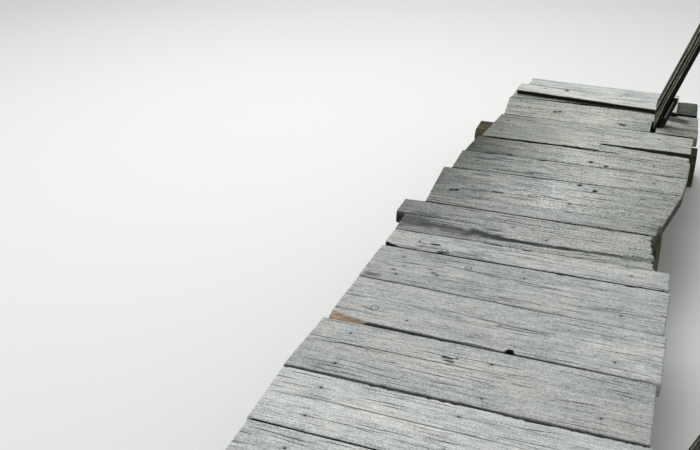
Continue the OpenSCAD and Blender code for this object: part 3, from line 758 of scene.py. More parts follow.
def makeBoard(name, number, node, material, slotName, look, slot=None):
    # A weathered board: rings of mesh lines across it, set along its length. Its top is the plan of the CAD
    # board with grain, cracks, knots and nail pits pressed into it, and it stays between the board's own low
    # and high planes.
    rng = np.random.default_rng(400 + number)
    board = openBoard(node, number, look, slot, rng)
    layTop(board, look)
    board.z = topRelief(board, look, rng)
    pressCracks(board)
    pressSpots(board)
    spreadStains(board)
    tearSplinter(board)
    dropStrip(board)
    board.z = np.maximum(board.high + np.minimum(board.z, 0), board.low + look["leastWood"])
    p = closeRound(board, look)
    marks = ringMarks(board, look, layJointShadeAndDirt(board))
    grain, rings = ringGrain(board, p, rng)
    values = {"grain": grain, "rings": rings, "marks": marks, "tone": ringTone(board, look, p)}
    values = {key: value.reshape(-1, value.shape[-1]) for key, value in values.items()}
    tube, ends = ringFaces(*p.shape[:2]), boardEnds(board, look, *p.shape[:2])
    makeMesh(name, p.reshape(-1, 3), [tube], ends, values, material, slotName, node)
    return board, p[:, : board.columns + 1]


def paint(r, g, b):
    # a screen colour from 0 to 255 as the linear numbers that a shader takes
    linear = [c / 255 / 12.92 if c <= 10 else ((c / 255 + 0.055) / 1.055) ** 2.4 for c in (r, g, b)]
    return (*linear, 1.0)


def addNode(tree, kind, inputs=None, **settings):
    # a shader node with its settings, and each input linked to a socket or set to a value
    n = tree.nodes.new("ShaderNode" + kind)
    for key, value in settings.items():
        setattr(n, key, value)
    for key, value in (inputs or {}).items():
        if isinstance(value, bpy.types.NodeSocket):
            tree.links.new(value, n.inputs[key])
        else:
            n.inputs[key].default_value = value
    return n


def reckon(tree, operation, *values, clamp=False):
    # a sum or other operation on values that are sockets or numbers
    return addNode(tree, "Math", dict(enumerate(values)), operation=operation, use_clamp=clamp).outputs[0]


def times(tree, a, b, clamp=False):
    return reckon(tree, "MULTIPLY", a, b, clamp=clamp)


def plus(tree, a, b):
    return reckon(tree, "ADD", a, b)


def minus(tree, a, b):
    return reckon(tree, "SUBTRACT", a, b)


def wave(tree, value, rate):
    # the sine of a value times a rate in radians
    return reckon(tree, "SINE", times(tree, value, rate))


def spread(tree, value, low, high, toLow=0.0, toHigh=1.0):
    # a smooth step from toLow, where value is low, to toHigh, where it is high
    inputs = {0: value, 1: low, 2: high, 3: toLow, 4: toHigh}
    return addNode(tree, "MapRange", inputs, interpolation_type="SMOOTHSTEP").outputs[0]


def blendColour(tree, factor, a, b, way="MIX"):
    # colour a where the factor is 0, going over to b, or to a multiplied by b, where it is 1
    return addNode(tree, "Mix", {0: factor, 6: a, 7: b}, data_type="RGBA", blend_type=way).outputs[2]


def noiseAt(tree, vector, detail, rough=0.5):
    inputs = {"Vector": vector, "Scale": 1.0, "Detail": detail, "Roughness": rough}
    return addNode(tree, "TexNoise", inputs).outputs[0]


def streaks(tree, grain, along, across, shift, detail, rough):
    # noise drawn out along the grain: the grain's place times a scale that is small along it
    inputs = {0: grain, 1: (along, across, across), 2: (shift, shift * 2, shift * 3)}
    moved = addNode(tree, "VectorMath", inputs, operation="MULTIPLY_ADD").outputs[0]
    return noiseAt(tree, moved, detail, rough)


def dotProduct(tree, vector, other):
    return addNode(tree, "VectorMath", {0: vector, 1: other}, operation="DOT_PRODUCT").outputs["Value"]


def emptyMaterial(name):
    material = bpy.data.materials.new(name)
    material.use_nodes = True
    material.node_tree.nodes.clear()
    return material, material.node_tree


def hairlineChecks(tree, grain, checks):
    # Fine dark lines along the grain: the crosswise place, swayed by a noise, is near a whole number on a
    # line, and each line opens and closes along its run by a noise of its own.
    along, across, width, sway = (checks[key] for key in ("along", "across", "width", "sway"))
    swayed = times(tree, streaks(tree, grain, 5, 14, 4.0, 1.5, 0.5), sway)
    crosswise = plus(tree, dotProduct(tree, grain, (0, across, across)), swayed)
    line = reckon(tree, "ROUND", crosswise)
    apart = reckon(tree, "ABSOLUTE", minus(tree, crosswise, line))
    run = addNode(tree, "CombineXYZ", {0: dotProduct(tree, grain, (along, 0, 0)), 1: times(tree, line, 7.31)})
    opening = spread(tree, noiseAt(tree, run.outputs[0], 2.0), 0.46, 0.66)
    return times(tree, minus(tree, times(tree, opening, width), apart), 1.4 / width, clamp=True)


def endWood(tree, look, rings, fine):
    # the end faces: growth rings in darker wood, blurred by the fine noise
    ring = spread(tree, wave(tree, rings, 2 * math.pi / look["endRingGap"]), -0.2, 1.0)
    colour = blendColour(tree, ring, paint(*look["endLight"]), paint(*look["endDark"]))
    blur = times(tree, spread(tree, fine, 0.35, 0.7), 0.6)
    return blendColour(tree, blur, colour, paint(*look["endDark"]))


def rampOf(tree, value, colours):
    # evenly spaced colours from dark to pale
    ramp = addNode(tree, "ValToRGB", {0: value})
    stops = ramp.color_ramp.elements
    stops[0].position, stops[0].color = 0.0, paint(*colours[0])
    stops[1].position, stops[1].color = 1.0, paint(*colours[-1])
    for k, colour in enumerate(colours[1:-1], 1):
        stops.new(k / (len(colours) - 1)).color = paint(*colour)
    return ramp.outputs[0]


def knotWood(tree, look, knot, colour):
    # rings inside a knot, faintly, and a dark rim where its mark is a half
    rings = spread(tree, wave(tree, knot, look["knotRings"]), -0.3, 0.9)
    inside = blendColour(tree, rings, paint(*look["knotLight"]), paint(*look["knotDark"]))
    colour = blendColour(tree, times(tree, spread(tree, knot, 0.46, 0.56), 0.3), colour, inside)
    rim = spread(tree, reckon(tree, "ABSOLUTE", minus(tree, knot, 0.5)), 0.10, 0.03)
    return blendColour(tree, times(tree, rim, 0.9), colour, paint(*look["knotDark"]))


def freshWood(tree, look, fibre, fine):
    # tan where the wood has just broken, striped by the fibres
    light, middle, dark = (paint(*colour) for colour in look["freshColours"])
    colour = blendColour(tree, spread(tree, fibre, 0.38, 0.62), light, middle)
    return blendColour(tree, spread(tree, fine, 0.5, 0.75), colour, dark)


def weatheredWood(name, look):
    # Grey old wood: a lightness from fibres, streaks, growth rings, hairline checks, mottling and mildew
    # specks picks a colour from dark to pale, then warm and mossy tints, stains, fresh breaks, knots and
    # dark cracks go over it.
    material, tree = emptyMaterial(name)
    grain = addNode(tree, "Attribute", attribute_name="grain").outputs["Vector"]
    rings = addNode(tree, "Attribute", attribute_name="rings").outputs["Fac"]
    tone = addNode(tree, "Attribute", attribute_name="tone").outputs["Vector"]
    light, warm, moss = addNode(tree, "SeparateXYZ", {0: tone}).outputs
    marks = addNode(tree, "Attribute", attribute_name="marks")
    cavity, stain, fresh = addNode(tree, "SeparateColor", {0: marks.outputs["Color"]}).outputs
    knot = marks.outputs["Alpha"]
    endFace = addNode(tree, "Attribute", attribute_name="endFace").outputs["Fac"]

    noises = {key: streaks(tree, grain, *values) for key, values in look["noises"].items()}
    fibre, fine, wide, mottle, patch, speck = (
        noises[key] for key in ("fibre", "fine", "wide", "mottle", "patch", "speck"))
    ringWave = wave(tree, rings, look["ringsPerMetre"] * 2 * math.pi)
    ringMark = times(tree, spread(tree, ringWave, 0.35, 1.0), spread(tree, wide, 0.38, 0.62))
    hairline = hairlineChecks(tree, grain, look["checks"])
    clusters = spread(tree, noises["cluster"], 0.46, 0.62)
    spots = times(tree, spread(tree, noises["dash"], 0.57, 0.68), clusters)

    shade = look["middle"]
    for value, middle, amount in (
        (fine, 0.5, look["fine"]), (fibre, 0.5, look["fibre"]), (wide, 0.5, look["wide"]),
        (mottle, 0.5, look["mottle"]), (patch, 0.5, look["patch"]), (speck, 0.5, look["grit"]),
        (ringMark, 0.15, -look["ring"]), (hairline, 0.1, -look["hairline"]), (spots, 0.08, -look["spots"]),
    ):
        shade = plus(tree, shade, times(tree, minus(tree, value, middle), amount))
    colour = rampOf(tree, shade, look["colours"])
    colour = blendColour(tree, endFace, colour, endWood(tree, look, rings, fine))

    between = spread(tree, patch, 0.36, 0.64)
    hue = blendColour(tree, between, paint(*look["coolTint"]), paint(*look["rosyTint"]))
    colour = blendColour(tree, 1.0, colour, hue, "MULTIPLY")
    warmed = blendColour(tree, 1.0, colour, paint(*look["warmTint"]), "MULTIPLY")
    colour = blendColour(tree, warm, colour, warmed)
    colour = addNode(tree, "VectorMath", {0: colour, 3: light}, operation="SCALE").outputs[0]
    mossy = times(tree, moss, spread(tree, mottle, 0.30, 0.68), clamp=True)
    colour = blendColour(tree, mossy, colour, paint(*look["moss"]))
    colour = knotWood(tree, look, knot, colour)
    stained = times(tree, stain, spread(tree, fine, 0.3, 0.65, 0.45, 1.0), clamp=True)
    colour = blendColour(tree, stained, colour, paint(*look["stain"]))
    colour = blendColour(tree, fresh, colour, freshWood(tree, look, fibre, fine))
    colour = blendColour(tree, spread(tree, cavity, 0.0, 0.85), colour, paint(*look["crack"]))

    height = times(tree, fine, 0.6)
    for value, amount in ((fibre, 0.7), (speck, 0.1), (hairline, -0.6), (ringMark, -0.15)):
        height = plus(tree, height, times(tree, value, amount))
    bumpInputs = {"Strength": look["bump"], "Distance": look["bumpDeep"], "Height": height}
    bump = addNode(tree, "Bump", bumpInputs)
    rough = spread(tree, fine, 0.2, 0.8, look["rough"] - 0.06, look["rough"] + 0.06)
    inputs = {"Base Color": colour, "Roughness": rough, "Normal": bump.outputs[0]}
    shader = addNode(tree, "BsdfPrincipled", inputs)
    shader.inputs["Specular IOR Level"].default_value = look["shine"]
    addNode(tree, "OutputMaterial", {0: shader.outputs[0]})
    return material


# noises as (scale per metre along the grain, scale across it, shift, detail, roughness)
silverLook = {
    "colours": [(74, 74, 73), (129, 131, 130), (165, 168, 166), (191, 194, 191), (215, 216, 213)],
    "middle": 0.52,  # the lightness before the noises are added, each times its amount
    "fine": 0.75, "fibre": 0.75, "wide": 0.5, "mottle": 0.8, "patch": 0.4, "grit": 1.7, "ring": 0.2,
    "hairline": 1.0, "spots": 0.25, "ringsPerMetre": 150,
    "checks": {"along": 5, "across": 80, "width": 0.14, "sway": 2.6},
    "noises": {
        "fibre": (14, 700, 2, 3, 0.6), "fine": (6, 240, 0, 4, 0.62), "wide": (3, 36, 5, 3, 0.6),
        "mottle": (18, 56, 7, 5, 0.7), "speck": (180, 260, 3, 3, 0.7), "patch": (5, 11, 8, 2, 0.5),
        "cluster": (6, 20, 1, 2, 0.5), "dash": (22, 380, 6, 1.5, 0.5),
    },
    "warmTint": (254, 251, 230), "coolTint": (251, 254, 254), "rosyTint": (255, 252, 250),
    "endLight": (120, 116, 106), "endDark": (74, 70, 62), "endRingGap": 0.0032,  # metres
    "knotLight": (158, 158, 152), "knotDark": (70, 68, 64), "knotRings": 46.0,  # radians over a knot's mark
    "freshColours": [(186, 160, 132), (116, 93, 73), (104, 78, 60)],  # light, middle and dark
    "moss": (84, 94, 66), "stain": (46, 48, 48), "crack": (18, 16, 14),
    "bump": 0.6, "bumpDeep": 0.0018, "rough": 0.88, "shine": 0.25,  # the bump's depth is in metres
}
farLook = dict(
    silverLook, fine=0.6, fibre=0.5, wide=1.1, mottle=0.9, grit=2.0, spots=0.2, hairline=1.2,
    checks={"along": 4, "across": 62, "width": 0.17, "sway": 2.0},
    noises=dict(
        silverLook["noises"], fibre=(14, 600, 2, 3, 0.6), fine=(6, 200, 0, 4, 0.62),
        wide=(6, 85, 5, 3, 0.6), mottle=(20, 60, 7, 4, 0.7), speck=(170, 150, 3, 2, 0.65),
        dash=(16, 260, 6, 1.5, 0.5)))
darkLook = dict(
    silverLook, colours=[(26, 24, 20), (48, 45, 38), (73, 70, 61), (101, 99, 90), (128, 126, 116)],
    fine=1.0, mottle=0.9, ring=0.25, hairline=0.5, endLight=(96, 84, 66), endDark=(52, 44, 34),
    knotLight=(92, 86, 72), knotDark=(44, 40, 32), stain=(34, 34, 30), moss=(84, 96, 52), bump=0.7,
    rough=0.9)
logLook = dict(
    darkLook, colours=[(28, 24, 19), (46, 39, 31), (66, 57, 46), (88, 78, 64), (108, 99, 84)], ring=0.12)
railLook = dict(
    darkLook, colours=[(56, 52, 45), (84, 79, 69), (108, 103, 92), (132, 127, 115), (156, 152, 140)],
    endLight=(112, 100, 82), endDark=(64, 56, 44), rough=0.78)

nearBoardWood = weatheredWood("silverDeckWood", silverLook)
farBoardWood = weatheredWood("mottledDeckWood", farLook)
thresholdWood = weatheredWood("paleThresholdWood", silverLook)
postWood = weatheredWood("darkPostWood", darkLook)
logWood = weatheredWood("logWood", logLook)
sillWood = weatheredWood("sillWood", logLook)
railWood = weatheredWood("railWood", railLook)

nailIronLook = {
    "dark": (30, 29, 28), "rust": (58, 44, 36), "patchScale": 420.0, "metal": 0.1, "rough": 0.7,
    "bump": 0.5, "bumpDeep": 0.0004,  # metres
}


def rustyIron(name, look):
    # dark iron with rust in patches by noise
    material, tree = emptyMaterial(name)
    place = addNode(tree, "TexCoord").outputs["Object"]
    inputs = {"Vector": place, "Scale": look["patchScale"], "Detail": 3.0}
    patch = addNode(tree, "TexNoise", inputs).outputs[0]
    colour = blendColour(tree, spread(tree, patch, 0.4, 0.62), paint(*look["dark"]), paint(*look["rust"]))
    bumpInputs = {"Strength": look["bump"], "Distance": look["bumpDeep"], "Height": patch}
    bump = addNode(tree, "Bump", bumpInputs)
    shader = addNode(tree, "BsdfPrincipled", {"Base Color": colour, "Normal": bump.outputs[0]})
    shader.inputs["Metallic"].default_value = look["metal"]
    shader.inputs["Roughness"].default_value = look["rough"]
    addNode(tree, "OutputMaterial", {0: shader.outputs[0]})
    return material


nailIron = rustyIron("nailIron", nailIronLook)
print("stage 3: materials made")


deckZ = 306.0  # top of the deck
logTopZ = 264.0  # underside of the boards
slotLook = {"play": 7.0, "wide": 22.0}  # mm round a post's foot, and along the board


def postFacts(name):
    # A post's places from its CAD mesh: its plumb foot's ends across the bridge, its middle along it, its
    # width and depth in level section, its lean as a slope, and its top.
    co = cadPoints(name)
    high = co[:, 2].max()
    top = co[co[:, 2] > high - 0.5]
    foot = co[np.abs(co[:, 2] - logTopZ) < 0.5]
    x0, x1 = foot[:, 0].min(), foot[:, 0].max()
    middle, half = middleAndHalf(foot)
    return {"foot": (x0, x1), "y": middle[1], "wide": 2 * middleAndHalf(top)[1][0], "deep": 2 * half[1],
            "slope": (top[:, 0].max() - x1) / (high - deckZ), "top": high}


def slotFor(board, post, side):
    # the slot that a post's foot passes, open to the board's near (0) or far (1) edge: its walls and its
    # depth
    facts = postFacts(post)
    (nl, nr, fr, fl), _, _ = cadPlan(board)
    start = facts["foot"][0] - slotLook["play"]
    half = facts["deep"] / 2 + slotLook["play"]
    left, right = (fl, fr) if side else (nl, nr)
    edgeY = np.interp(start, (left[0], right[0]), (left[1], right[1]))
    deep = edgeY - (facts["y"] - half) if side else facts["y"] + half - edgeY
    return {"walls": (start, start + slotLook["wide"]), "side": side, "deep": deep}


slots = {2: slotFor("board_02", "post_near", 1), 16: slotFor("board_16", "post_far", 0)}
boards = {}
for number in range(1, 18):
    wood = nearBoardWood if number < 10 else farBoardWood
    boards[number] = makeBoard("deckBoard%02d" % number, number, "board_%02d" % number, wood, "deck_board",
                               boardLook, slots.get(number))
for number, name in ((18, "threshold_near"), (19, "threshold_far")):
    boards[number] = makeBoard(pieceName(name), number, name, thresholdWood, "threshold_board",
                               thresholdLook)
print("stage 4: boards made")


nailLook = {
    "radius": 4.0, "dome": 1.0, "segments": 12,
    "sunk": 0.8, "nearest": 10,  # mm under the highest of this many points of the wood round it
    "profile": [(0.82, -3.0), (1.0, -0.5), (0.92, 0.15), (0.55, 0.75)],  # share of the radius, height in mm
}


def oneNail(look):
    # A nail head: rings of points from below up round a shallow dome, closed by a point below and one above,
    # and its quads and triangles, turned to face outwards.
    n = look["segments"]
    angle = np.arange(n) * 2 * math.pi / n
    share, height = np.array(look["profile"]).T
    radii = look["radius"] * share[:, None]
    rings = np.stack([radii * np.cos(angle), radii * np.sin(angle), np.repeat(height[:, None], n, 1)], -1)
    points = np.concatenate([rings.reshape(-1, 3), [[0, 0, height[0]], [0, 0, look["dome"]]]])
    return points, ringFaces(len(share), n)[:, ::-1], closingTips(len(share), n)[:, ::-1]


def makeNails(look):
    # a nail head at each nail's place, sunk a little under the highest wood round it
    spots = []
    for board, top in boards.values():
        for x, t in board.marks.get("nails", []):
            y = np.interp(x, board.xs, board.yNear + t * board.width)
            apart = (top[..., 0] - x) ** 2 + (top[..., 1] - y) ** 2
            nearest = np.argsort(apart, axis=None)[: look["nearest"]]
            spots.append((x, y, np.max(top[..., 2].ravel()[nearest]) - look["sunk"]))
    points, quads, tips = oneNail(look)
    offset = (np.arange(len(spots)) * len(points))[:, None, None]
    everywhere = (points[None] + np.array(spots)[:, None]).reshape(-1, 3)
    groups = [(faces[None] + offset).reshape(-1, faces.shape[1]) for faces in (quads, tips)]
    makeMesh("nails", everywhere, groups, [], {}, nailIron, "deck_board")


makeNails(nailLook)
print("stage 5: nails made")


def roundedOutline(corners, radius, gap):
    # A closed outline of straight sides, where a quadratic curve that starts and ends a radius away rounds
    # each corner. It comes as evenly spaced points with their outward normals, their places along it and its
    # whole length.
    c = np.array(corners, float)
    before, after = np.roll(c, 1, 0) - c, np.roll(c, -1, 0) - c
    beforeLong, afterLong = np.linalg.norm(before, axis=1), np.linalg.norm(after, axis=1)
    cut = np.minimum(radius, 0.45 * np.minimum(beforeLong, afterLong))[:, None]
    start = (c + before / beforeLong[:, None] * cut)[:, None]
    stop = (c + after / afterLong[:, None] * cut)[:, None]
    t = np.linspace(0, 1, 7)[None, :, None]  # seven points round each corner
    path = ((1 - t) ** 2 * start + 2 * t * (1 - t) * c[:, None] + t**2 * stop).reshape(-1, 2)
    closed = np.vstack([path, path[:1]])
    length = np.concatenate([[0], np.cumsum(np.linalg.norm(np.diff(closed, axis=0), axis=1))])
    count = int(round(length[-1] / gap))
    at = np.arange(count) * length[-1] / count
    flat = np.stack([np.interp(at, length, closed[:, k]) for k in (0, 1)], -1)
    way = np.roll(flat, -1, 0) - np.roll(flat, 1, 0)
    normal = np.stack([way[:, 1], -way[:, 0]], -1)
    return flat, normal / np.linalg.norm(normal, axis=1)[:, None], at, length[-1]


def bevelledOutline(half, tall, bevel, radius, gap):
    # the outline of a timber that lies flat, with bevels along its two top arrises
    corners = [(-half, 0), (half, 0), (half, tall - bevel), (half - bevel, tall), (bevel - half, tall),
               (-half, tall - bevel)]
    return roundedOutline([(-a, b) for a, b in corners][::-1], radius, gap)


def spacedMiddles(start, stop, gap, extra=()):
    # middles at even steps, closer at both ends, with extra places in mm from the start
    start, stop = np.array(start, float), np.array(stop, float)
    length = np.linalg.norm(stop - start)
    inner = np.linspace(8, length - 8, int(length / gap))
    steps = np.array([0, 0.7, 2.0, 4.0])
    s = np.sort(np.concatenate([steps, inner, length - steps, list(extra)]))
    return start + (stop - start) * (s / length)[:, None]


def openGrooves(look, s, at, total, seed):
    # depth of the grooves and drying cracks at every station and outline point: each runs at its own
    # place round the outline, wanders, has slanted sides and fades out at both ends
    groove = np.zeros((len(s), at.shape[-1]))
    for place, half, deep, start, stop in look["grooves"]:
        wander = total * place + look["wander"] * smoothNoise(s / 190, place * 31, seed + 4)
        gap = np.abs((at - wander[:, None] + total / 2) % total - total / 2)
        first, last = start * s[-1], stop * s[-1]
        run = rise(s, first - 30, first + 30) * (1 - rise(s, last - 30, last + 30))
        run = run * (0.75 + 0.25 * smoothNoise(s / 70, place * 57, seed + 5))
        section = np.clip(look["steep"] * (1 - gap / half), 0, 1) ** 0.8
        groove = np.maximum(groove, deep * run[:, None] * section)
    return groove


def cellsRound(total):
    # how many cells of about 11 mm, as a whole number, fit round an outline
    return max(3, int(total / 11))


reliefRuns = {"ridge": 170, "dish": 190, "fine": 60}  # mm that a bump of each kind runs along a timber


def pressSurface(look, s, at, total, seed, groove):
    # how far the surface lies inside the outline: grain ridges, broad hollows, fine grain, grooves, and
    # ends that are rounded off
    cells = cellsRound(total)
    turn = at / total  # one row, or one for each station
    counts = {"ridge": cells * 2, "dish": 5, "fine": cells * 4}  # bumps round the outline
    inwards = groove
    for k, (kind, run) in enumerate(reliefRuns.items(), 1):
        noise = smoothNoise(s[:, None] / run, turn * counts[kind], seed + k, counts[kind])
        inwards = inwards + look[kind] * (0.5 + 0.5 * noise)
    end = np.minimum(s, s[-1] - s)[:, None]
    return inwards + roundedDrop(end, 3.5) + 0.8 * np.exp(-end / 9)


endRings = np.array([0.9, 0.74, 0.55, 0.34, 0.14])[:, None]  # share of an end that each of its rings spans


def endCap(rim, forward, look, cells, seed, salt):
    # an end face as rings that shrink towards its middle, sunk a little, and deeper where it has split
    heart = rim.mean(0)
    turn = np.arange(len(rim)) / len(rim) * cells
    split = look["endSplit"] * rise(smoothNoise(turn * 0.9, 0.5, seed + 7), 0.55, 0.95)
    sunk = 0.3 + 0.5 * (0.5 + 0.5 * smoothNoise(endRings * 9, turn[None], seed + salt))
    sunk = sunk + split[None] * (endRings > 0.2)
    return heart + (rim - heart)[None] * endRings[..., None] + forward * sunk[..., None], heart + forward


def mossAt(p, look):
    # moss from the foot of a piece up, as (amount, full up to z, gone from z, amount everywhere)
    amount, full, gone, rest = look["moss"]
    return amount * (1 - rise(p[:, 2], full, gone)) + rest


darkFrom = 5.0  # mm of depth from which a groove is fully dark


def timberValues(points, groove, start, forward, side, look, seed, light, moss):
    # The grain's own coordinates and the distance from the pith in metres, and the tones. The grooves are
    # dark, and what stands in the deck gets painted shade.
    sideWay = np.array(side) - np.dot(side, forward) * forward
    sideWay = sideWay / np.linalg.norm(sideWay)
    upWay = np.cross(sideWay, forward)
    grain = points @ np.stack([forward, sideWay, upWay], 1) * 0.001 + [2.9 * seed, 0, 0]
    pithSide, pithUp = look["pith"]
    rings = np.hypot((points - start) @ sideWay - pithSide, (points - start) @ upWay - pithUp) * 0.001
    dark = np.clip(groove / darkFrom, 0, 1).ravel() ** 1.3
    capPoints = len(endRings) * groove.shape[1]
    cavity = np.concatenate([np.zeros(capPoints), dark, np.zeros(capPoints + 2)])
    # painted shade on what stands below the deck's top
    if "buried" in look:
        cavity = np.maximum(cavity, 1 - rise(points[:, 2], look["buried"] - 8, look["buried"]))
    zero = np.zeros(len(points))
    lightness = light(points) if light else zero + look["light"]
    return {
        "grain": grain, "rings": rings[:, None], "marks": np.stack([cavity, zero, zero, zero], -1),
        "tone": np.stack([lightness, zero, moss(points, look)], -1),
    }


def makeTimber(node, material, slotName, outline, middles, side, up, look, seed, shape=None, light=None,
               moss=mossAt):
    # A long timber: an outline that runs anticlockwise in side and up, carried along a line of middles, with
    # its surface pressed inwards by grain, hollows and grooves, and its ends closed by shrinking rings. The
    # grain follows the line of middles.
    flat, normal, at, total = outline
    s = np.concatenate([[0], np.cumsum(np.linalg.norm(np.diff(middles, axis=0), axis=1))])
    groove = openGrooves(look, s, at, total, seed)
    inwards = pressSurface(look, s, at, total, seed, groove)
    a = flat[..., 0] - normal[None, :, 0] * inwards
    b = flat[..., 1] - normal[None, :, 1] * inwards
    p = middles[:, None] + a[..., None] * np.array(side) + b[..., None] * np.array(up)
    if shape:
        p = shape(p, s)

    forward = (middles[-1] - middles[0]) / np.linalg.norm(middles[-1] - middles[0])
    cells = cellsRound(total)
    first, firstHeart = endCap(p[0], forward, look, cells, seed, 8)
    last, lastHeart = endCap(p[-1], -forward, look, cells, seed, 9)
    rows = [rings.reshape(-1, 3) for rings in (first[::-1], p, last)]
    points = np.concatenate(rows + [[firstHeart, lastHeart]])
    ring, caps = len(normal), len(endRings)
    count = len(middles) + 2 * caps
    faces = ringFaces(count, ring)
    isEnd = (faces[:, 0] // ring < caps) | (faces[:, 0] // ring >= count - caps - 1)
    values = timberValues(points, groove, middles[0], forward, side, look, seed, light, moss)
    makeMesh(pieceName(node), points, [faces[~isEnd]], [faces[isEnd], closingTips(count, ring)], values,
             material, slotName, node)


postLook = {
    "ridge": 1.3, "dish": 0.8, "fine": 0.8,  # depth in mm of the grain, the broad hollows and the fine grain
    "wander": 0.7, "steep": 3.0, "endSplit": 3.0, "pith": (6.0, -4.0),
    "squareWidth": 54.0, "bevel": 22.0, "bevelStop": 48.0,  # the stop is in mm over the deck
    # grooves as (place in mm from the inner near arris, anticlockwise from above, half width, depth,
    # start, stop)
    "grooves": [(2.4, 3.0, 8.0, 0, 1), (16.4, 3.1, 9.5, 0, 1), (27.6, 1.9, 5.5, 0, 1),
                (41.5, 3.0, 7.0, 0, 1), (50.0, 3.0, 6.0, 0.1, 1), (60.0, 3.6, 7.0, 0, 1),
                (72.0, 3.0, 5.0, 0.2, 1), (90.0, 4.2, 8.0, 0, 1), (104.0, 3.6, 7.0, 0, 0.8),
                (117.0, 3.4, 6.0, 0.1, 1),
                (134.0, 3.2, 5.0, 0, 1), (148.0, 4.2, 8.5, 0, 1), (163.0, 3.6, 6.0, 0, 0.9),
                (177.0, 3.4, 7.0, 0.05, 1), (192.0, 3.8, 7.5, 0, 1), (206.0, 3.0, 5.0, 0.3, 1)],
    "moss": (0.9, 306, 400, 0.10),
    # lightness of the near and far sides at places in mm from the inner arris, then of the inner side,
    # bevel and outer side; the bands are lighter ridges and darker grooves, partly painted highlight and
    # shade, and the bevel's lightness is painted shade
    "bandPlaces": (4, 6.5, 12.5, 14, 19, 21, 25.5, 27, 28, 30, 36, 38.5, 42),
    "bandLights": (0.15, 4.3, 4.3, 0.3, 0.3, 2.2, 2.2, 0.5, 0.5, 2.9, 2.9, 0.4, 0.13),
    # buried is the height in mm below which the post is painted shade
    "innerLight": 0.9, "bevelLight": 0.14, "outerLight": 0.75, "buried": 304.0,
}


def makePost(node, look, seed):
    # A leaning post: its level section stands on a line that leans, its inner side is cut plumb near the
    # deck, and its outer near arris is bevelled down to a stop.
    facts = postFacts(node)
    half, deep = facts["wide"] / 2, facts["deep"] / 2
    bevel = look["bevel"] * facts["wide"] / look["squareWidth"]  # a level section is wider than a square one
    corners = [(-half, -deep), (half - bevel, -deep), (half, look["bevel"] - deep), (half, deep),
               (-half, deep)]
    flat, normal, at, total = roundedOutline(corners, 2.6, 1.5)
    shift = np.argmin(flat.sum(1))
    flat, normal = np.roll(flat, -shift, 0), np.roll(normal, -shift, 0)
    footX = facts["foot"][1] - half
    topX = footX + (facts["top"] - logTopZ - 0.2) * facts["slope"]
    middles = spacedMiddles((footX, facts["y"], logTopZ + 0.2), (topX, facts["y"], facts["top"]), 4.6)
    height = middles[:, 2] - deckZ
    middles[:, 0] = footX + np.clip(height, 0, None) * facts["slope"]
    square = np.clip(np.minimum((half - flat[:, 0]) * look["bevel"] / bevel, flat[:, 1] + deep), 0, None)
    closed = (1 - rise(height, look["bevelStop"] - 2, look["bevelStop"] + 2))[:, None] * square
    across, along = flat[:, 0] + closed * bevel / look["bevel"], flat[:, 1] - closed
    plumb = facts["foot"][0] - middles[:, :1]
    squeezed = half - (half - across) * (half - np.maximum(plumb, -half)) / (2 * half)
    # each groove keeps its place on the near and far sides where the section gets narrower
    place = at - normal[:, 1] * (squeezed - across)
    look = dict(look, grooves=[(g[0] / total,) + g[1:] for g in look["grooves"]])

    def light(p):
        # in bands on the near and far sides that are partly painted highlight and shade, and painted shade on
        # the bevel
        u = p[:, 0] - footX - np.clip(p[:, 2] - deckZ, 0, None) * facts["slope"]
        v = p[:, 1] - facts["y"]
        band = np.interp(u + half, look["bandPlaces"], look["bandLights"])
        inside = rise(v, 1 - deep, 4 - deep) * (1 - rise(v, deep - 4, deep - 1))
        beyondBevel = rise(v, look["bevel"] - deep, look["bevel"] - deep + 5)
        outer = look["bevelLight"] + (look["outerLight"] - look["bevelLight"]) * beyondBevel
        other = look["innerLight"] + (outer - look["innerLight"]) * rise(u, -4, 4)
        return band + (other - band) * inside

    def moss(p, look):
        return mossAt(p, look) * np.clip(light(p), 0, 1)

    outline = (np.stack([squeezed, along], -1), normal, place, total)
    makeTimber(node, postWood, "post", outline, middles, (1, 0, 0), (0, 1, 0), look, seed, light=light,
               moss=moss)


cleatLook = {
    "ridge": 1.0, "dish": 0.6, "fine": 0.5, "wander": 1.0, "steep": 1.0, "endSplit": 3.0, "pith": (6.0, -4.0),
    # grooves as (place as a share of the outline, half width, depth, start, stop), as for the timbers below
    "grooves": [(0.12, 2.4, 3.0, 0, 1), (0.3, 2.4, 3.5, 0, 1), (0.62, 2.4, 3.0, 0.1, 1),
                (0.8, 2.2, 2.5, 0, 0.9)],
    "moss": (0.36, 306, 400, 0.04),
    # lightness of the cleat: painted shade, and a painted highlight on its near arris
    "darkLight": 0.13, "arrisLight": 4.0,
}


def makeCleat(node, look, seed):
    # a short leaning timber: one rectangle carried from its lowest face to its highest
    co = cadPoints(node)
    low, high = co[:, 2].min(), co[:, 2].max()
    (a, half), (b, _) = (middleAndHalf(co[np.abs(co[:, 2] - z) < 0.5]) for z in (low, high))
    a[2], b[2] = low, high
    halfX, halfY = half[0], half[1]
    outline = roundedOutline([(-halfX, -halfY), (halfX, -halfY), (halfX, halfY), (-halfX, halfY)], 3.0, 2.0)

    def light(p):
        # painted shade all over, with a painted highlight on the arris on the deck's side, at the near corner
        u = p[:, 0] - a[0] - (p[:, 2] - a[2]) * (b[0] - a[0]) / (b[2] - a[2]) + halfX
        v = p[:, 1] - a[1] + halfY
        return look["darkLight"] + look["arrisLight"] * np.exp(-((u / 3.5) ** 2) - (v / 3.5) ** 2)

    def moss(p, look):
        return mossAt(p, look) * np.clip(light(p), 0, 1)

    makeTimber(node, postWood, "post", outline, spacedMiddles(a, b, 3.2), (1, 0, 0), (0, 1, 0), look, seed,
               light=light, moss=moss)


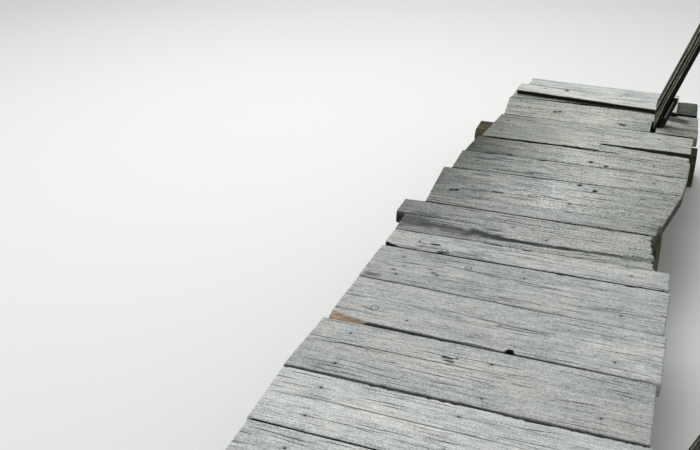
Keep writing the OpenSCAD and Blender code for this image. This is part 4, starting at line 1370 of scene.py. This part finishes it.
for k, end in enumerate(("near", "far")):
    makePost("post_" + end, postLook, 3 + k)
for k, end in enumerate(("near", "far")):
    makeCleat("cleat_" + end, cleatLook, 11 + k)

sillLook = {
    "ridge": 1.1, "dish": 2.2, "fine": 0.7, "wander": 3.0, "steep": 1.0, "endSplit": 4.0, "pith": (10.0, 8.0),
    "grooves": [(0.07, 3.0, 5, 0.1, 0.7), (0.2, 3.4, 7, 0, 0.5), (0.33, 3.0, 5, 0.3, 1),
                (0.48, 3.6, 8, 0.2, 1), (0.6, 3.0, 5, 0, 0.6), (0.78, 3.4, 6, 0.35, 1),
                (0.9, 3.0, 5, 0, 0.8)],
    "moss": (0.75, 20, 120, 0.2), "light": 0.9, "bevel": 22.0,
}


def flatFoot(p, s):
    # the underside stays level on the ground
    p = p.copy()
    p[..., 2] = np.where(p[..., 2] < 4.5, np.clip(p[..., 2] - 1.8, 0, None) * 0.6, p[..., 2])
    return p


def makeSill(node, look, seed):
    # a bevelled timber as long, wide and tall as its CAD node; its place along the bridge is returned for
    # the notches of the logs
    low, high = (np.array(corner) * 1000 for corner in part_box(node))
    y, half = (low[1] + high[1]) / 2, (high[1] - low[1]) / 2
    outline = bevelledOutline(half, high[2], look["bevel"], 5.0, 5.2)
    middles = spacedMiddles((low[0], y, 0), (high[0], y, 0), 6.5)
    makeTimber(node, sillWood, "sill", outline, middles, (0, -1, 0), (0, 0, 1), look, seed, flatFoot)
    return y


sillY = [makeSill("sill_" + end, sillLook, 21 + k) for k, end in enumerate(("near", "far"))]

handrailLook = {
    "ridge": 0.9, "dish": 0.9, "fine": 0.5, "wander": 2.2, "steep": 1.0, "endSplit": 3.0,
    "pith": (4.0, -10.0),
    "grooves": [(0.08, 2.4, 3.5, 0, 0.6), (0.2, 2.4, 3.0, 0.3, 1), (0.34, 2.4, 4.5, 0.0, 0.45),
                (0.42, 2.2, 3.5, 0.55, 1), (0.52, 2.4, 5.0, 0.2, 0.8), (0.66, 2.2, 3.5, 0, 1),
                (0.82, 2.4, 4.0, 0.1, 0.7), (0.93, 2.4, 3.5, 0.5, 1)],
    "moss": (0.0, 0, 1, 0.12), "halfWidth": 36.0, "bevel": 12.0, "topLighter": 0.12, "topDeep": 21,
}


def makeHandrail(look, seed):
    # a long bevelled timber from one end's middle to the other's, lighter on top
    co = cadPoints("handrail")
    low, high, ends = co[:, 2].min(), co[:, 2].max(), (co[:, 1].min(), co[:, 1].max())
    a, b = (middleAndHalf(co[np.abs(co[:, 1] - y) < 2])[0] for y in ends)
    a[2] = b[2] = low

    def light(p):
        return 1.0 + look["topLighter"] * rise(p[:, 2], high - look["topDeep"], high)

    outline = bevelledOutline(look["halfWidth"], high - low, look["bevel"], 4.0, 3.4)
    makeTimber("handrail", railWood, "rail", outline, spacedMiddles(a, b, 9.5), (-1, 0, 0), (0, 0, 1), look,
               seed, light=light)


makeHandrail(handrailLook, 31)
print("stage 6: timbers made")


logShape = {
    "ridge": 2.4, "dish": 3.4, "fine": 1.6, "wander": 6.0, "steep": 1.0, "endSplit": 7.0, "pith": (0.0, 0.0),
    "grooves": [(0.06, 3.2, 9, 0.1, 0.55), (0.13, 3.0, 7, 0.5, 0.95), (0.4, 3.4, 10, 0.2, 0.8),
                (0.47, 3.0, 7, 0, 0.3), (0.58, 3.4, 9, 0.35, 1), (0.7, 3.0, 8, 0, 0.4),
                (0.9, 3.4, 9, 0.3, 0.9)],
    "moss": (0.45, 130, 210, 0.12), "light": 0.95,
    "axisZ": 202.0, "seatZ": 140.3, "hewnZ": 263.9,  # middle, notches over the sills, level top
    "notchHalf": 77.0, "points": 76,  # half length of a notch, and points round the log
}


def makeLog(node, look, seed):
    # A tapered round: a circle as wide as the butt, whose rings shrink to the log's own radius and are
    # then cut level on top and, over each sill, level with the sill's top.
    co = cadPoints(node)
    (a, halfA), (b, halfB) = (middleAndHalf(co[np.abs(co[:, 1] - y) < 9])
                              for y in (co[:, 1].min(), co[:, 1].max()))
    a[2] = b[2] = look["axisZ"]
    r0, r1 = halfA[0], halfB[0]
    wide = max(r0, r1)
    beside = [way * (look["notchHalf"] - 0.2 + e) for way in (-1, 1) for e in (-0.5, 0.5)]
    middles = spacedMiddles(a, b, 16.0, [y + place - a[1] for y in sillY for place in beside])
    angle = np.linspace(0, 2 * math.pi, look["points"], endpoint=False)
    circle = np.stack([np.cos(angle), np.sin(angle)], -1)
    outline = (circle * wide, circle, angle * wide, 2 * math.pi * wide)

    def hewn(p, s):
        share = ((r0 + (r1 - r0) * s / s[-1]) / wide)[:, None, None]
        p = middles[:, None] + (p - middles[:, None]) * share
        ripple = 0.6 * (0.5 + 0.5 * smoothNoise(p[..., 1] / 46, p[..., 0] / 60, 5))
        p[..., 2] = np.minimum(p[..., 2], look["hewnZ"] - ripple)
        apart = np.min([np.abs(p[..., 1].mean(1) - y) for y in sillY], axis=0)[:, None]
        p[..., 2] = np.where(apart < look["notchHalf"], np.maximum(p[..., 2], look["seatZ"]), p[..., 2])
        return p

    makeTimber(node, logWood, "log", outline, middles, (-1, 0, 0), (0, 0, 1), look, seed, hewn)


for k, place in enumerate(("left", "middle", "right")):
    makeLog("log_" + place, logShape, 41 + k)
print("stage 7: logs made")


stageLook = {
    "floor": (226, 226, 223), "floorHalf": 30.0, "sky": (0.95, 0.98, 1.0, 1), "skyPower": 0.50,
    "aim": (0, 1.6, 0.3),
    # lamps as (place in metres, size, power)
    "lamps": {"key": ((-1.6, 3.8, 4.8), 4.0, 205.0), "fill": ((-3.5, -1.5, 3.0), 4.0, 45.0)},
}


def makeStage(look):
    # a wide pale floor, an even sky and two soft lamps that face the bridge
    mesh = bpy.data.meshes.new("floor")
    half = look["floorHalf"]
    corners = [(x * half, y * half, 0) for x, y in ((-1, -1), (1, -1), (1, 1), (-1, 1))]
    mesh.from_pydata(corners, [], [(0, 1, 2, 3)])
    floor = bpy.data.objects.new("floor", mesh)
    bpy.context.scene.collection.objects.link(floor)
    material = bpy.data.materials.new("floorPaint")
    material.use_nodes = True
    shader = material.node_tree.nodes["Principled BSDF"]
    shader.inputs["Base Color"].default_value = paint(*look["floor"])
    shader.inputs["Roughness"].default_value = 0.9
    mesh.materials.append(material)
    floor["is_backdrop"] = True
    world = bpy.data.worlds.new("world")
    bpy.context.scene.world = world
    world.use_nodes = True
    background = world.node_tree.nodes["Background"]
    background.inputs[0].default_value, background.inputs[1].default_value = look["sky"], look["skyPower"]
    for name, (place, size, power) in look["lamps"].items():
        lamp = bpy.data.lights.new(name, "AREA")
        lamp.size, lamp.energy = size, power
        obj = bpy.data.objects.new(name, lamp)
        bpy.context.scene.collection.objects.link(obj)
        aim = Vector(look["aim"]) - Vector(place)
        obj.matrix_world = Matrix.Translation(place) @ aim.to_track_quat("-Z", "Y").to_matrix().to_4x4()


makeStage(stageLook)
bpy.context.scene.view_settings.view_transform = "Standard"
print("stage 8: stage and light set")

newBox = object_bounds()
asList = lambda box: [[float(c) for c in corner] for corner in box]
{"cad": asList(cadBox), "visual": asList(newBox)}
